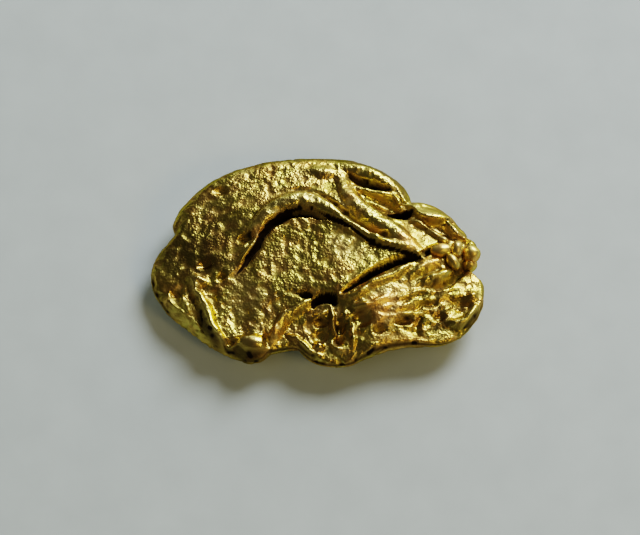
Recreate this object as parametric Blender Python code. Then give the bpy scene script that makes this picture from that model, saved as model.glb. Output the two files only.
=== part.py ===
"""A gold nugget: one flat, folded piece of river-worn native gold, lying on its underside.

Run it with: blender --background --python part.py
The nugget is one solid. A block with a fine grid on its faces is moved onto the nugget's shape:
an outline with a rounded edge, a broad top surface given by spot heights, and then the ridges,
lumps, creases and pits that folding and rolling left in the metal. +Z is up, the long way lies
along X, and the origin is on the resting plane, under the middle of the nugget's box.
All sizes in the tables are in millimetres.
"""

import math

import bmesh
import bpy
import numpy as np
from mathutils import noise

# Driving sizes.
LENGTH = 14.0  # along X
DRAWN_LENGTH = 14.0  # the length at which the tables below are written
METRES = 0.001 * LENGTH / DRAWN_LENGTH

# The block that is shaped: quads along X, along Y, and down its wall.
GRID = (150, 104, 16)
MOST_TRIANGLES = 9600
SAME_PLACE = 1e-6  # two corners of the block nearer than this are level with each other
TUMBLING = 2  # rounds of smoothing
WALL_LEAN = math.radians(62)  # how far round the edge's curve the block's wall reaches, up and down
UNDER_ROUNDING = 1.5  # width of the rounded edge below, in mm
WORN_DEPTH = 0.10  # how much of the belly is worn away to the flat patch it rests on
BELLY_RISE = 0.85  # how far the underside has risen where the rounded edge takes over
BROAD_WAVES = (0.9, 0.035)  # size and height of the soft dents all over
SMALL_WAVES = (0.42, 0.028)  # size and height of the smaller dents

# Outline, counter-clockwise from the bead at the right: x, y, height of the widest line, rounding.
OUTLINE = [
    (6.80, 0.20, 1.20, 0.30), (6.80, 0.55, 1.20, 0.30), (6.62, 0.82, 1.20, 0.30),
    (6.38, 0.88, 1.30, 0.55), (6.28, 1.18, 1.25, 0.55), (6.00, 1.53, 1.25, 0.55),
    (5.70, 1.93, 1.25, 0.55), (5.30, 2.28, 1.25, 0.55), (4.85, 2.53, 1.25, 0.55),
    (4.35, 2.65, 1.25, 0.55), (4.05, 2.65, 1.25, 0.55), (3.92, 3.00, 1.30, 0.70),
    (3.65, 3.42, 1.30, 0.70), (3.20, 3.84, 1.30, 0.70), (2.70, 4.19, 1.30, 0.70),
    (2.10, 4.44, 1.30, 0.70), (1.40, 4.60, 1.30, 0.70), (0.60, 4.67, 1.30, 0.70),
    (-0.30, 4.68, 1.30, 0.70), (-1.20, 4.64, 1.30, 0.70), (-2.10, 4.50, 1.30, 0.70),
    (-3.00, 4.28, 1.30, 0.70), (-3.80, 4.00, 1.25, 0.70), (-4.45, 3.67, 1.20, 0.70),
    (-5.05, 3.24, 1.20, 0.70), (-5.55, 2.72, 1.20, 0.70), (-5.92, 2.22, 1.20, 0.70),
    (-6.14, 1.58, 1.20, 0.80), (-6.06, 1.24, 0.98, 0.45), (-6.40, 0.80, 0.95, 0.55),
    (-6.82, 0.22, 0.92, 0.65), (-7.02, -0.42, 0.90, 0.70), (-6.98, -1.05, 0.85, 0.75),
    (-6.80, -1.55, 0.75, 0.80), (-6.54, -1.96, 0.85, 0.60), (-6.24, -2.36, 0.70, 0.60),
    (-5.70, -2.80, 0.62, 0.60), (-5.16, -3.24, 0.65, 0.50), (-4.62, -3.68, 0.65, 0.50),
    (-4.04, -4.06, 0.67, 0.50), (-3.42, -4.40, 0.73, 0.50), (-2.78, -4.73, 1.06, 0.26),
    (-2.32, -4.62, 1.09, 0.26), (-2.02, -4.36, 1.12, 0.26), (-1.60, -4.22, 1.14, 0.26),
    (-1.15, -4.14, 1.14, 0.26), (-0.80, -4.19, 1.14, 0.26), (-0.50, -4.47, 1.14, 0.26),
    (-0.15, -4.72, 1.12, 0.26), (0.35, -4.86, 1.09, 0.26), (0.90, -4.89, 1.09, 0.26),
    (1.40, -4.82, 1.09, 0.26), (1.80, -4.62, 1.12, 0.26), (2.30, -4.42, 1.14, 0.26),
    (3.00, -4.16, 1.19, 0.26), (3.85, -4.02, 1.24, 0.26), (4.60, -4.02, 1.26, 0.26),
    (5.30, -3.94, 1.29, 0.26), (5.85, -3.71, 1.34, 0.26), (6.30, -3.27, 1.22, 0.26),
    (6.68, -2.78, 1.25, 0.26), (6.92, -2.23, 1.25, 0.26), (7.00, -1.68, 1.28, 0.26),
    (6.93, -1.15, 1.30, 0.26), (6.70, -0.85, 1.35, 0.26), (6.42, -0.62, 1.40, 0.26),
    (6.22, -0.40, 1.05, 0.30), (6.35, -0.22, 1.10, 0.30), (6.65, -0.10, 1.15, 0.30),
]

# Spot heights of the broad top surface: x, y, height.
SPOTS = [
    (-4.95, 1.45, 1.75), (-3.25, 2.70, 2.10), (-1.15, 3.40, 2.15), (0.50, 3.80, 2.10), (2.20, 3.70, 1.95),
    (3.50, 2.90, 1.75), (-6.45, -0.65, 1.25), (-5.60, -0.20, 1.60), (-4.35, 0.20, 1.95), (-2.35, 1.70, 2.30),
    (-0.75, 2.20, 2.40), (1.15, 1.60, 2.45), (3.05, 0.65, 2.36), (4.55, 0.00, 2.30), (-3.25, -1.60, 1.86),
    (-2.00, -0.75, 1.99), (-0.75, 0.15, 2.08), (0.95, 0.10, 2.24), (2.65, -0.25, 2.18), (-0.75, -1.75, 2.03),
    (0.95, -1.40, 2.30), (-2.45, -3.20, 1.80), (1.80, -2.30, 2.36), (0.75, -3.05, 1.72), (3.50, -1.40, 2.32),
    (4.75, -0.95, 2.05), (3.05, -3.10, 2.05), (4.75, -2.55, 1.80), (6.20, -1.95, 1.60), (3.50, -3.85, 1.44),
    (5.60, -3.50, 1.34), (-0.30, -3.20, 1.70), (0.50, -4.20, 1.30), (-1.15, -3.80, 1.32), (-2.65, -4.15, 1.36),
    (-4.75, -2.00, 1.65), (-4.05, -3.60, 1.40), (-5.80, -1.90, 1.20), (-4.95, -2.95, 1.20), (4.55, 1.95, 1.70),
    (5.60, 1.00, 1.75), (6.45, 0.10, 1.45),
]
SPOT_REACH = 0.95  # how far a spot height is felt
FARTHEST_SPOT = 1e-9  # the least weight that all spots together have, far from every one of them

# A stroke is (reach to the left, reach to the right, sharpness, points), and a point of it is
# (x, y, half width, height). Left and right are as seen when following the points.
# Sharpness 0.5 gives a round roll with a crisp foot, 1 a crest with sloping sides, 2 a soft swell.
RAISED_STROKES = {
    "brow": (1.0, 1.0, 0.65, [
        (-2.78, 0.55, 0.26, 0.10), (-2.52, 1.02, 0.40, 0.26), (-2.12, 1.58, 0.46, 0.34),
        (-1.62, 1.98, 0.48, 0.38), (-0.97, 2.24, 0.50, 0.42), (-0.40, 2.22, 0.50, 0.42),
        (0.15, 2.02, 0.44, 0.38), (0.66, 1.68, 0.38, 0.34), (1.22, 1.22, 0.32, 0.30),
        (1.92, 0.74, 0.28, 0.28), (2.55, 0.44, 0.28, 0.30), (3.10, 0.22, 0.30, 0.28),
        (3.80, 0.04, 0.34, 0.28), (4.30, -0.14, 0.28, 0.16)]),
    "crevice_lip": (1.0, 1.0, 0.8, [
        (-1.02, 1.76, 0.05, 0.08), (-0.55, 1.80, 0.07, 0.26), (-0.10, 1.68, 0.07, 0.28),
        (0.36, 1.38, 0.07, 0.24), (0.82, 1.16, 0.05, 0.08)]),
    "curled_lip": (1.0, 0.9, 0.7, [
        (-2.05, 1.42, 0.10, 0.08), (-2.42, 0.85, 0.13, 0.24), (-2.56, 0.42, 0.14, 0.30),
        (-2.80, 0.12, 0.15, 0.32), (-3.06, -0.16, 0.15, 0.28), (-3.30, -0.45, 0.10, 0.12)]),
    "second_ridge": (0.9, 1.0, 0.8, [
        (0.85, 3.72, 0.26, 0.06), (1.10, 3.30, 0.34, 0.16), (1.22, 2.88, 0.38, 0.26),
        (1.42, 2.45, 0.42, 0.32), (1.88, 1.92, 0.46, 0.34), (2.54, 1.36, 0.46, 0.34),
        (3.14, 0.94, 0.44, 0.34), (3.68, 0.46, 0.38, 0.32), (4.10, 0.02, 0.28, 0.20)]),
    "far_rim": (1.0, 1.3, 0.8, [
        (1.00, 4.15, 0.22, 0.06), (1.70, 4.00, 0.32, 0.20), (2.40, 3.74, 0.38, 0.30),
        (3.00, 3.40, 0.36, 0.30), (3.50, 2.95, 0.28, 0.20)]),
    "slot_lip": (1.0, 1.0, 0.8, [
        (1.60, 3.02, 0.12, 0.06), (1.95, 2.92, 0.15, 0.18), (2.45, 2.84, 0.16, 0.22),
        (2.90, 2.76, 0.18, 0.22), (3.30, 2.80, 0.14, 0.10)]),
    "corner_wrinkle_1": (1.0, 1.0, 0.6, [
        (3.16, 2.86, 0.10, 0.12), (3.38, 2.55, 0.13, 0.24), (3.55, 2.22, 0.10, 0.14)]),
    "corner_wrinkle_2": (1.0, 1.0, 0.6, [
        (3.46, 2.92, 0.09, 0.10), (3.64, 2.64, 0.12, 0.20), (3.82, 2.34, 0.09, 0.12)]),
    "tip_face": (2.2, 0.35, 1.0, [
        (4.08, 2.02, 0.22, 0.24), (4.30, 1.78, 0.26, 0.36), (4.70, 1.60, 0.28, 0.42),
        (5.15, 1.57, 0.26, 0.38), (5.50, 1.60, 0.20, 0.24)]),
    "tip_edge": (1.0, 1.0, 0.7, [
        (5.50, 1.52, 0.14, 0.15), (5.72, 1.15, 0.19, 0.30),
        (5.92, 0.92, 0.20, 0.30), (6.22, 0.84, 0.16, 0.18)]),
    "tip_vein": (1.0, 1.0, 0.8, [
        (3.95, 1.50, 0.14, 0.12), (4.30, 1.40, 0.18, 0.26), (4.65, 1.12, 0.18, 0.28),
        (5.05, 0.80, 0.16, 0.26), (5.42, 0.62, 0.12, 0.14)]),
    "bowl_lip": (1.0, 0.8, 1.0, [
        (1.45, -1.42, 0.08, 0.03), (2.05, -0.98, 0.11, 0.08),
        (2.75, -0.56, 0.11, 0.09), (3.50, -0.26, 0.08, 0.04)]),
    "slit_lip": (0.8, 1.2, 0.8, [
        (0.92, -2.06, 0.10, 0.10), (1.42, -2.14, 0.16, 0.22), (1.90, -1.90, 0.17, 0.26),
        (2.24, -1.58, 0.18, 0.28), (2.66, -1.38, 0.18, 0.27), (3.25, -1.12, 0.18, 0.25),
        (3.62, -0.84, 0.17, 0.24), (4.00, -0.58, 0.12, 0.14)]),
    "second_lip": (1.0, 1.3, 0.8, [
        (1.35, -2.50, 0.08, 0.05), (1.80, -2.56, 0.14, 0.18), (2.30, -2.46, 0.14, 0.20),
        (2.75, -2.22, 0.13, 0.16), (3.02, -2.00, 0.08, 0.05)]),
    "lower_fold": (1.5, 0.6, 1.0, [
        (-0.28, -2.14, 0.12, 0.12), (-0.60, -2.34, 0.20, 0.26), (-0.98, -2.58, 0.24, 0.32),
        (-1.38, -2.80, 0.26, 0.34), (-1.60, -3.08, 0.26, 0.36), (-1.82, -3.52, 0.24, 0.34),
        (-2.06, -3.92, 0.18, 0.18)]),
    "hole_web": (1.0, 1.0, 0.9, [
        (0.56, -2.56, 0.07, 0.12), (0.64, -2.90, 0.12, 0.24),
        (0.62, -3.28, 0.12, 0.24), (0.80, -3.66, 0.08, 0.10)]),
    "hole_sill": (1.0, 1.0, 0.9, [
        (0.44, -2.64, 0.07, 0.10), (0.12, -2.82, 0.11, 0.22), (-0.26, -2.96, 0.08, 0.08)]),
    "near_rim": (1.0, 1.0, 0.8, [
        (-1.20, -3.66, 0.10, 0.08), (-0.85, -3.80, 0.15, 0.20), (-0.55, -4.06, 0.15, 0.20),
        (-0.22, -4.38, 0.14, 0.16), (0.20, -4.55, 0.10, 0.08)]),
    "pit_lip": (1.0, 1.0, 0.8, [
        (0.60, -4.05, 0.10, 0.10), (0.82, -4.28, 0.16, 0.24), (1.25, -4.30, 0.14, 0.16)]),
    "pit_wall": (1.0, 1.0, 0.8, [
        (1.42, -3.55, 0.10, 0.10), (1.50, -3.88, 0.13, 0.22), (1.46, -4.20, 0.12, 0.16)]),
    "left_rim": (0.9, 1.2, 0.8, [
        (-5.26, -0.90, 0.18, 0.16), (-5.14, -1.32, 0.24, 0.32), (-5.00, -1.76, 0.26, 0.38),
        (-4.78, -2.16, 0.28, 0.44), (-4.56, -2.60, 0.29, 0.46), (-4.46, -3.05, 0.28, 0.48),
        (-4.26, -3.46, 0.27, 0.48), (-3.98, -3.82, 0.20, 0.28)]),
    "left_knuckle": (1.0, 1.0, 0.8, [
        (-5.46, -0.70, 0.14, 0.14), (-5.04, -0.82, 0.18, 0.30), (-4.62, -0.98, 0.13, 0.15)]),
    "wall_fold_1": (1.0, 1.0, 0.9, [
        (-5.70, -1.80, 0.10, 0.10), (-5.50, -2.15, 0.15, 0.22), (-5.36, -2.58, 0.10, 0.12)]),
    "wall_fold_2": (1.0, 1.0, 0.9, [
        (-5.30, -1.95, 0.10, 0.10), (-5.12, -2.40, 0.14, 0.22), (-4.98, -2.88, 0.10, 0.12)]),
    "wall_ledge": (1.0, 1.0, 0.9, [
        (-6.40, -1.70, 0.08, 0.05), (-5.95, -2.24, 0.12, 0.14),
        (-5.35, -2.76, 0.13, 0.16), (-4.80, -3.16, 0.08, 0.06)]),
    "lobe_rim": (1.0, 1.0, 0.8, [
        (5.40, -2.98, 0.14, 0.14), (5.80, -3.12, 0.22, 0.30), (6.18, -2.98, 0.22, 0.30),
        (6.46, -2.68, 0.20, 0.27), (6.62, -2.32, 0.14, 0.12)]),
    "upper_bar": (1.0, 1.0, 0.7, [
        (3.80, -1.24, 0.12, 0.08), (4.20, -0.96, 0.20, 0.24),
        (4.60, -0.68, 0.21, 0.28), (5.05, -0.44, 0.14, 0.16)]),
    "lower_bar": (1.0, 1.0, 0.7, [
        (4.30, -1.50, 0.14, 0.10), (4.75, -1.28, 0.22, 0.28), (5.20, -1.12, 0.22, 0.32),
        (5.60, -0.86, 0.17, 0.24), (5.82, -0.66, 0.10, 0.10)]),
    "lobe_stripe_1": (1.0, 1.0, 0.9, [
        (3.35, -2.18, 0.08, 0.08), (3.90, -2.00, 0.13, 0.18), (4.50, -1.74, 0.08, 0.08)]),
    "lobe_stripe_2": (1.0, 1.0, 0.9, [
        (3.20, -2.66, 0.08, 0.08), (3.70, -2.50, 0.12, 0.16), (4.15, -2.30, 0.08, 0.08)]),
    "eye_lid": (1.0, 1.0, 0.9, [
        (3.05, -3.02, 0.09, 0.10), (3.50, -2.86, 0.12, 0.18), (3.98, -2.80, 0.09, 0.10)]),
}
SUNK_STROKES = {
    "brow_crevice": (1.0, 1.0, 0.7, [
        (-3.42, -1.02, 0.08, 0.04), (-3.08, -0.56, 0.10, 0.14), (-2.78, -0.10, 0.13, 0.24),
        (-2.48, 0.34, 0.14, 0.28), (-2.26, 0.76, 0.14, 0.32), (-1.96, 1.17, 0.15, 0.36),
        (-1.44, 1.51, 0.17, 0.40), (-0.95, 1.69, 0.18, 0.44), (-0.42, 1.70, 0.18, 0.44),
        (0.28, 1.46, 0.11, 0.28), (0.86, 1.22, 0.09, 0.20), (1.42, 0.92, 0.07, 0.15),
        (2.00, 0.50, 0.07, 0.15), (2.47, 0.20, 0.08, 0.20),
        (3.25, -0.03, 0.09, 0.24), (4.00, -0.25, 0.08, 0.24)]),
    "ridge_valley": (1.0, 1.0, 1.3, [
        (-1.60, 2.66, 0.18, 0.04), (-0.70, 2.76, 0.24, 0.08), (-0.10, 2.60, 0.24, 0.14),
        (0.32, 2.38, 0.22, 0.22), (0.74, 2.05, 0.18, 0.28), (1.16, 1.64, 0.15, 0.32),
        (1.52, 1.33, 0.13, 0.32), (1.95, 1.02, 0.12, 0.30),
        (2.40, 0.76, 0.11, 0.24), (3.00, 0.50, 0.09, 0.12)]),
    "far_slot": (1.0, 1.0, 0.7, [
        (1.34, 3.72, 0.08, 0.10), (1.60, 3.44, 0.13, 0.34), (2.05, 3.24, 0.15, 0.44),
        (2.60, 3.10, 0.13, 0.40), (3.05, 3.04, 0.08, 0.24)]),
    "far_hollow": (1.0, 1.0, 1.5, [
        (1.85, 2.60, 0.28, 0.10), (2.30, 2.40, 0.38, 0.22),
        (2.80, 2.26, 0.40, 0.28), (3.20, 2.06, 0.32, 0.28)]),
    "far_hole": (1.0, 1.0, 0.6, [
        (3.02, 1.80, 0.10, 0.25), (3.40, 1.80, 0.17, 0.62),
        (3.80, 1.92, 0.14, 0.55), (3.96, 2.02, 0.08, 0.25)]),
    "tip_hollow": (1.0, 1.0, 1.2, [
        (4.50, 1.36, 0.16, 0.08), (5.05, 1.18, 0.26, 0.20),
        (5.45, 1.00, 0.24, 0.18), (5.75, 0.75, 0.14, 0.10)]),
    "bead_crack": (1.0, 1.0, 0.8, [
        (4.45, -0.28, 0.07, 0.25), (4.66, -0.02, 0.12, 0.50),
        (4.95, 0.22, 0.11, 0.36), (5.42, 0.36, 0.08, 0.22)]),
    "bead_gap_1": (1.0, 1.0, 0.8, [
        (6.24, 0.42, 0.05, 0.24), (6.16, 0.10, 0.06, 0.36), (6.08, -0.22, 0.06, 0.30)]),
    "bead_gap_2": (1.0, 1.0, 0.8, [
        (5.02, -0.38, 0.05, 0.12), (5.38, -0.32, 0.06, 0.30),
        (5.66, -0.06, 0.06, 0.34), (5.62, 0.24, 0.05, 0.24)]),
    "bead_gap_3": (1.0, 1.0, 0.8, [
        (5.50, -0.66, 0.06, 0.20), (5.85, -0.68, 0.08, 0.34), (6.10, -0.44, 0.07, 0.30)]),
    "bar_groove": (1.0, 1.0, 0.9, [
        (4.05, -1.34, 0.08, 0.10), (4.60, -1.02, 0.10, 0.24), (5.10, -0.76, 0.08, 0.14)]),
    "lobe_groove": (1.0, 1.0, 0.8, [
        (4.60, -1.66, 0.07, 0.10), (5.10, -1.54, 0.11, 0.34), (5.56, -1.28, 0.14, 0.48),
        (5.90, -0.90, 0.16, 0.70), (6.20, -0.55, 0.12, 0.60)]),
    "slit": (1.0, 1.0, 0.6, [
        (1.05, -1.92, 0.05, 0.15), (1.32, -1.76, 0.09, 0.40), (1.70, -1.47, 0.12, 0.60),
        (2.21, -1.12, 0.14, 0.68), (2.80, -0.76, 0.15, 0.70), (3.30, -0.52, 0.14, 0.66),
        (3.80, -0.38, 0.12, 0.55), (4.10, -0.32, 0.09, 0.40), (4.34, -0.36, 0.05, 0.20)]),
    "arch_hole": (1.0, 1.0, 0.6, [
        (-0.20, -2.42, 0.10, 0.30), (0.02, -2.24, 0.17, 0.60), (0.32, -2.16, 0.20, 0.72),
        (0.58, -2.24, 0.18, 0.66), (0.72, -2.46, 0.10, 0.30)]),
    "hole_dash": (1.0, 1.0, 0.7, [
        (-0.84, -1.86, 0.06, 0.15), (-0.58, -1.93, 0.10, 0.42), (-0.28, -2.02, 0.07, 0.25)]),
    "left_valley": (1.0, 1.0, 1.6, [
        (-2.95, -0.90, 0.45, 0.06), (-3.20, -1.50, 0.75, 0.12), (-3.30, -2.15, 0.85, 0.16),
        (-3.25, -2.80, 0.80, 0.16), (-3.10, -3.40, 0.50, 0.10)]),
    "rim_foot": (1.0, 1.0, 1.0, [
        (-5.45, -1.30, 0.12, 0.05), (-5.30, -1.72, 0.16, 0.14), (-5.14, -2.20, 0.18, 0.18),
        (-4.98, -2.70, 0.18, 0.20), (-4.72, -3.20, 0.16, 0.20), (-4.34, -3.58, 0.12, 0.12)]),
    "flat_groove": (1.0, 1.0, 0.9, [
        (3.98, -2.66, 0.08, 0.12), (4.40, -2.36, 0.12, 0.26), (4.95, -2.26, 0.10, 0.26)]),
    "flat_end": (1.0, 1.0, 0.9, [
        (4.18, -3.66, 0.10, 0.22), (4.12, -3.28, 0.12, 0.28), (4.30, -2.88, 0.08, 0.15)]),
    "bump_crease": (1.0, 1.0, 0.8, [
        (-2.20, -3.50, 0.07, 0.12), (-2.14, -3.84, 0.10, 0.30), (-2.06, -4.14, 0.09, 0.28)]),
}

# A lump is (x, y, half length, half width, turn in degrees, sharpness, height).
RAISED_LUMPS = {
    "bead_1": (5.27, 0.02, 0.46, 0.28, 10, 0.75, 0.50),
    "bead_2": (5.93, 0.14, 0.26, 0.34, 0, 0.75, 0.48),
    "bead_3": (5.64, 0.46, 0.22, 0.17, 20, 0.75, 0.34),
    "end_bead": (6.46, 0.00, 0.37, 0.48, 0, 0.75, 0.48),
    "bead_4": (5.72, -0.44, 0.36, 0.22, -48, 0.75, 0.44),
    "bead_5": (5.32, -0.66, 0.22, 0.20, 20, 0.75, 0.32),
    "near_bump": (-2.72, -4.10, 0.58, 0.36, -8, 0.7, 0.54),
    "near_facet": (0.06, -4.16, 0.26, 0.24, 0, 0.9, 0.26),
    "left_facet": (-3.08, 0.16, 0.26, 0.20, 30, 0.9, 0.22),
    "flat_panel": (2.95, -2.75, 0.80, 0.70, 60, 0.9, 0.14),
    "lobe_knob": (6.48, -1.82, 0.24, 0.22, 0, 0.8, 0.20),
    "brow_bulge": (2.50, 0.42, 0.27, 0.24, -20, 0.7, 0.62),
    "far_shoulder": (0.25, 3.72, 0.80, 0.36, -5, 1.6, 0.18),
    "tip_patch": (4.22, 2.22, 0.24, 0.32, 20, 0.9, 0.18),
    "web_knob": (1.12, -2.86, 0.20, 0.26, 0, 0.9, 0.18),
}
SUNK_LUMPS = {
    "temple_pit": (-2.98, 0.66, 0.36, 0.20, 8, 0.8, 0.42),
    "far_dimple": (-4.10, 2.88, 0.38, 0.20, -10, 1.2, 0.22),
    "patch_hollow": (-4.70, -0.42, 0.42, 0.26, 10, 1.4, 0.22),
    "cheek_pit": (-4.00, -0.98, 0.26, 0.14, 50, 0.9, 0.30),
    "knuckle_pit": (-4.98, -1.55, 0.18, 0.10, 10, 0.9, 0.24),
    "left_dimple": (-5.98, -1.62, 0.26, 0.20, -30, 0.9, 0.28),
    "corner_pit": (-3.54, -3.88, 0.26, 0.16, 0, 0.8, 0.30),
    "middle_hollow": (1.86, -3.04, 0.52, 0.46, 10, 1.4, 0.32),
    "sill_hollow": (0.16, -3.12, 0.32, 0.20, 10, 1.0, 0.34),
    "web_hollow": (1.00, -3.40, 0.26, 0.30, 0, 1.2, 0.30),
    "near_basin": (0.10, -3.68, 0.46, 0.34, 0, 1.4, 0.22),
    "near_pit": (0.92, -3.86, 0.22, 0.20, 0, 0.7, 0.40),
    "lower_pit_1": (2.60, -3.48, 0.30, 0.22, 20, 0.9, 0.30),
    "eye_pit": (3.56, -3.10, 0.42, 0.17, 14, 0.8, 0.30),
    "lobe_basin": (5.90, -2.30, 0.55, 0.36, -10, 1.2, 0.28),
    "lobe_pit": (6.34, -2.28, 0.20, 0.16, 0, 0.9, 0.24),
    "lobe_dent": (5.05, -2.85, 0.30, 0.24, 0, 1.2, 0.16),
    "gap_pit": (5.92, -0.84, 0.14, 0.11, 40, 0.7, 0.40),
}

# The underside's own relief. Here a height is a rise into the metal, away from the table.
UNDER_STROKES = {
    "under_crease": (1.0, 1.0, 0.9, [
        (-5.20, 0.60, 0.15, 0.10), (-4.20, 1.30, 0.28, 0.34), (-3.10, 2.10, 0.32, 0.40),
        (-1.90, 2.85, 0.28, 0.34), (-0.60, 3.30, 0.16, 0.12)]),
    "under_fold": (0.5, 1.6, 1.0, [
        (2.60, 3.10, 0.16, 0.10), (3.40, 2.10, 0.26, 0.30), (3.90, 1.00, 0.30, 0.36),
        (4.60, 0.10, 0.28, 0.34), (5.50, -0.40, 0.18, 0.14)]),
    "under_seam": (1.0, 1.0, 0.7, [
        (1.60, -3.60, 0.10, 0.10), (2.60, -2.95, 0.15, 0.30),
        (3.70, -2.60, 0.16, 0.32), (4.80, -2.70, 0.10, 0.15)]),
    "under_groove": (1.0, 1.0, 0.8, [
        (-4.60, -2.60, 0.12, 0.10), (-3.70, -2.30, 0.20, 0.26),
        (-2.90, -2.60, 0.20, 0.26), (-2.20, -3.20, 0.12, 0.12)]),
}
UNDER_LUMPS = {
    "under_dent_1": (-5.40, -0.60, 0.60, 0.42, 20, 1.4, 0.30),
    "under_dent_2": (1.20, 3.10, 0.75, 0.40, -10, 1.4, 0.32),
    "under_dent_3": (5.40, -1.90, 0.60, 0.45, 30, 1.4, 0.32),
    "under_pit_1": (-1.60, -3.10, 0.26, 0.18, 30, 0.8, 0.26),
    "under_pit_2": (2.90, 1.20, 0.24, 0.18, -20, 0.8, 0.26),
    "under_pit_3": (-3.60, 0.20, 0.22, 0.16, 60, 0.8, 0.22),
}

FLAT_REACH = 0.16  # share of the way to the edge at which the underside meets the resting plane
BLEND_POWER = 7  # how two raised features that overlap join: higher is sharper

GOLD = (0.80, 0.56, 0.16, 1.0)
GOLD_ROUGHNESS = 0.28


def clear_scene():
    for thing in list(bpy.data.objects):
        bpy.data.objects.remove(thing)


def smooth_line(rows, closed=False, steps=8):
    """A Catmull-Rom curve through the rows, every column of which it carries along."""
    rows = np.array(rows, float)
    if closed:
        rows = np.vstack([rows[-1:], rows, rows[:2]])
    else:
        rows = np.vstack([2 * rows[0] - rows[1], rows, 2 * rows[-1] - rows[-2]])
    share = np.linspace(0, 1, steps, endpoint=False)[:, None]
    spans = []
    for before, start, end, after in zip(rows, rows[1:], rows[2:], rows[3:]):
        bend = (2 * before - 5 * start + 4 * end - after) * share**2
        twist = (3 * start - before - 3 * end + after) * share**3
        spans.append(0.5 * (2 * start + (end - before) * share + bend + twist))
    if not closed:
        spans.append(rows[-2:-1])
    return np.vstack(spans)


def dome(share, sharpness):
    """1 in the middle and 0 from a share of 1 outwards."""
    return np.clip(1 - share**2, 0, 1) ** sharpness


def stroke_height(stroke, x, y):
    """How high a ridge stands, or how deep a crease goes, at each place."""
    left_reach, right_reach, sharpness, rows = stroke
    line = smooth_line(rows)
    widest = line[:, 2].max() * max(left_reach, right_reach)
    height = np.zeros_like(x)
    low, high = line[:, :2].min(0) - widest, line[:, :2].max(0) + widest
    near = (x > low[0]) & (x < high[0]) & (y > low[1]) & (y < high[1])
    if not near.any():
        return height
    start, step = line[:-1], np.diff(line, axis=0)
    off_x = x[near][:, None] - start[:, 0]
    off_y = y[near][:, None] - start[:, 1]
    along = (off_x * step[:, 0] + off_y * step[:, 1]) / (step[:, 0] ** 2 + step[:, 1] ** 2)
    along = np.clip(along, 0, 1)
    apart = np.hypot(off_x - along * step[:, 0], off_y - along * step[:, 1])
    nearest = apart.argmin(1)
    pick = (np.arange(len(nearest)), nearest)
    side = step[nearest, 0] * off_y[pick] - step[nearest, 1] * off_x[pick]
    half_width = start[nearest, 2] + along[pick] * step[nearest, 2]
    crest = start[nearest, 3] + along[pick] * step[nearest, 3]
    reach = half_width * np.where(side > 0, left_reach, right_reach)
    height[near] = crest * dome(apart[pick] / reach, sharpness)
    return height


def lump_height(lump, x, y):
    """How high a lump stands, or how deep a pit goes, at each place."""
    middle_x, middle_y, half_length, half_width, turn, sharpness, crest = lump
    cos, sin = math.cos(math.radians(turn)), math.sin(math.radians(turn))
    along = (x - middle_x) * cos + (y - middle_y) * sin
    across = (y - middle_y) * cos - (x - middle_x) * sin
    return crest * dome(np.hypot(along / half_length, across / half_width), sharpness)


def relief(strokes, lumps, x, y):
    """The joined height of all these features, where the highest one rules."""
    total = np.zeros_like(x)
    for stroke in strokes.values():
        total += stroke_height(stroke, x, y) ** BLEND_POWER
    for lump in lumps.values():
        total += lump_height(lump, x, y) ** BLEND_POWER
    return total ** (1 / BLEND_POWER)


def broad_height(x, y):
    """The top surface without its ridges and creases, smoothly through the spot heights."""
    spots = np.array(SPOTS)
    apart = (x[:, None] - spots[:, 0]) ** 2 + (y[:, None] - spots[:, 1]) ** 2
    weight = np.exp(-apart / SPOT_REACH**2) + FARTHEST_SPOT
    return weight @ spots[:, 2] / weight.sum(1)


def top_height(x, y):
    raised = relief(RAISED_STROKES, RAISED_LUMPS, x, y)
    sunk = relief(SUNK_STROKES, SUNK_LUMPS, x, y)
    return broad_height(x, y) + raised - sunk


def under_height(x, y, share):
    """The underside: a flat belly that rises towards the edge, with its own creases."""
    rise = BELLY_RISE * np.clip((share - FLAT_REACH) / (1 - FLAT_REACH), 0, 1) ** 2
    return rise - WORN_DEPTH + relief(UNDER_STROKES, UNDER_LUMPS, x, y)


def edge_at(angle):
    """Radius, height and rounding of the nugget's edge, in each direction from the middle."""
    edge = smooth_line(OUTLINE, closed=True)
    around = np.arctan2(edge[:, 1], edge[:, 0])
    order = np.argsort(around)
    columns = (np.hypot(edge[:, 0], edge[:, 1]), edge[:, 2], edge[:, 3])
    return [np.interp(angle, around[order], column[order], period=2 * math.pi) for column in columns]


def on_nugget(block):
    """Where each point of the block, whose sides run from -1 to 1, lies on the nugget."""
    a, b, c = block.T
    disc_x, disc_y = a * np.sqrt(1 - b**2 / 2), b * np.sqrt(1 - a**2 / 2)
    share, angle = np.hypot(disc_x, disc_y), np.arctan2(disc_y, disc_x)
    radius, edge_z, rounding = edge_at(angle)
    rounding = np.where(c >= 0, rounding, UNDER_ROUNDING)
    reach = share * (radius - rounding * (1 - np.cos(c * WALL_LEAN)))
    x, y = reach * np.cos(angle), reach * np.sin(angle)
    inward = np.clip((radius - reach) / rounding, 0, 1)
    fullness = np.sqrt(1 - (1 - inward) ** 2)
    face_z = np.where(c >= 0, top_height(x, y), under_height(x, y, reach / radius))
    return np.column_stack([x, y, edge_z + fullness * (face_z - edge_z)])


def gridded_block():
    """A cube of side 2 whose faces carry the grid."""
    mesh = bmesh.new()
    bmesh.ops.create_cube(mesh, size=2)
    for axis, cells in enumerate(GRID):
        edges = [e for e in mesh.edges if abs((e.verts[0].co - e.verts[1].co)[axis]) > SAME_PLACE]
        bmesh.ops.subdivide_edges(mesh, edges=edges, cuts=cells - 1, use_grid_fill=True)
    return mesh


def dents(place):
    """Soft dents of two sizes, as one height for a place in mm."""
    height = 0.0
    for size, depth in (BROAD_WAVES, SMALL_WAVES):
        height += depth * noise.noise(place / size)
    return height


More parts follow.
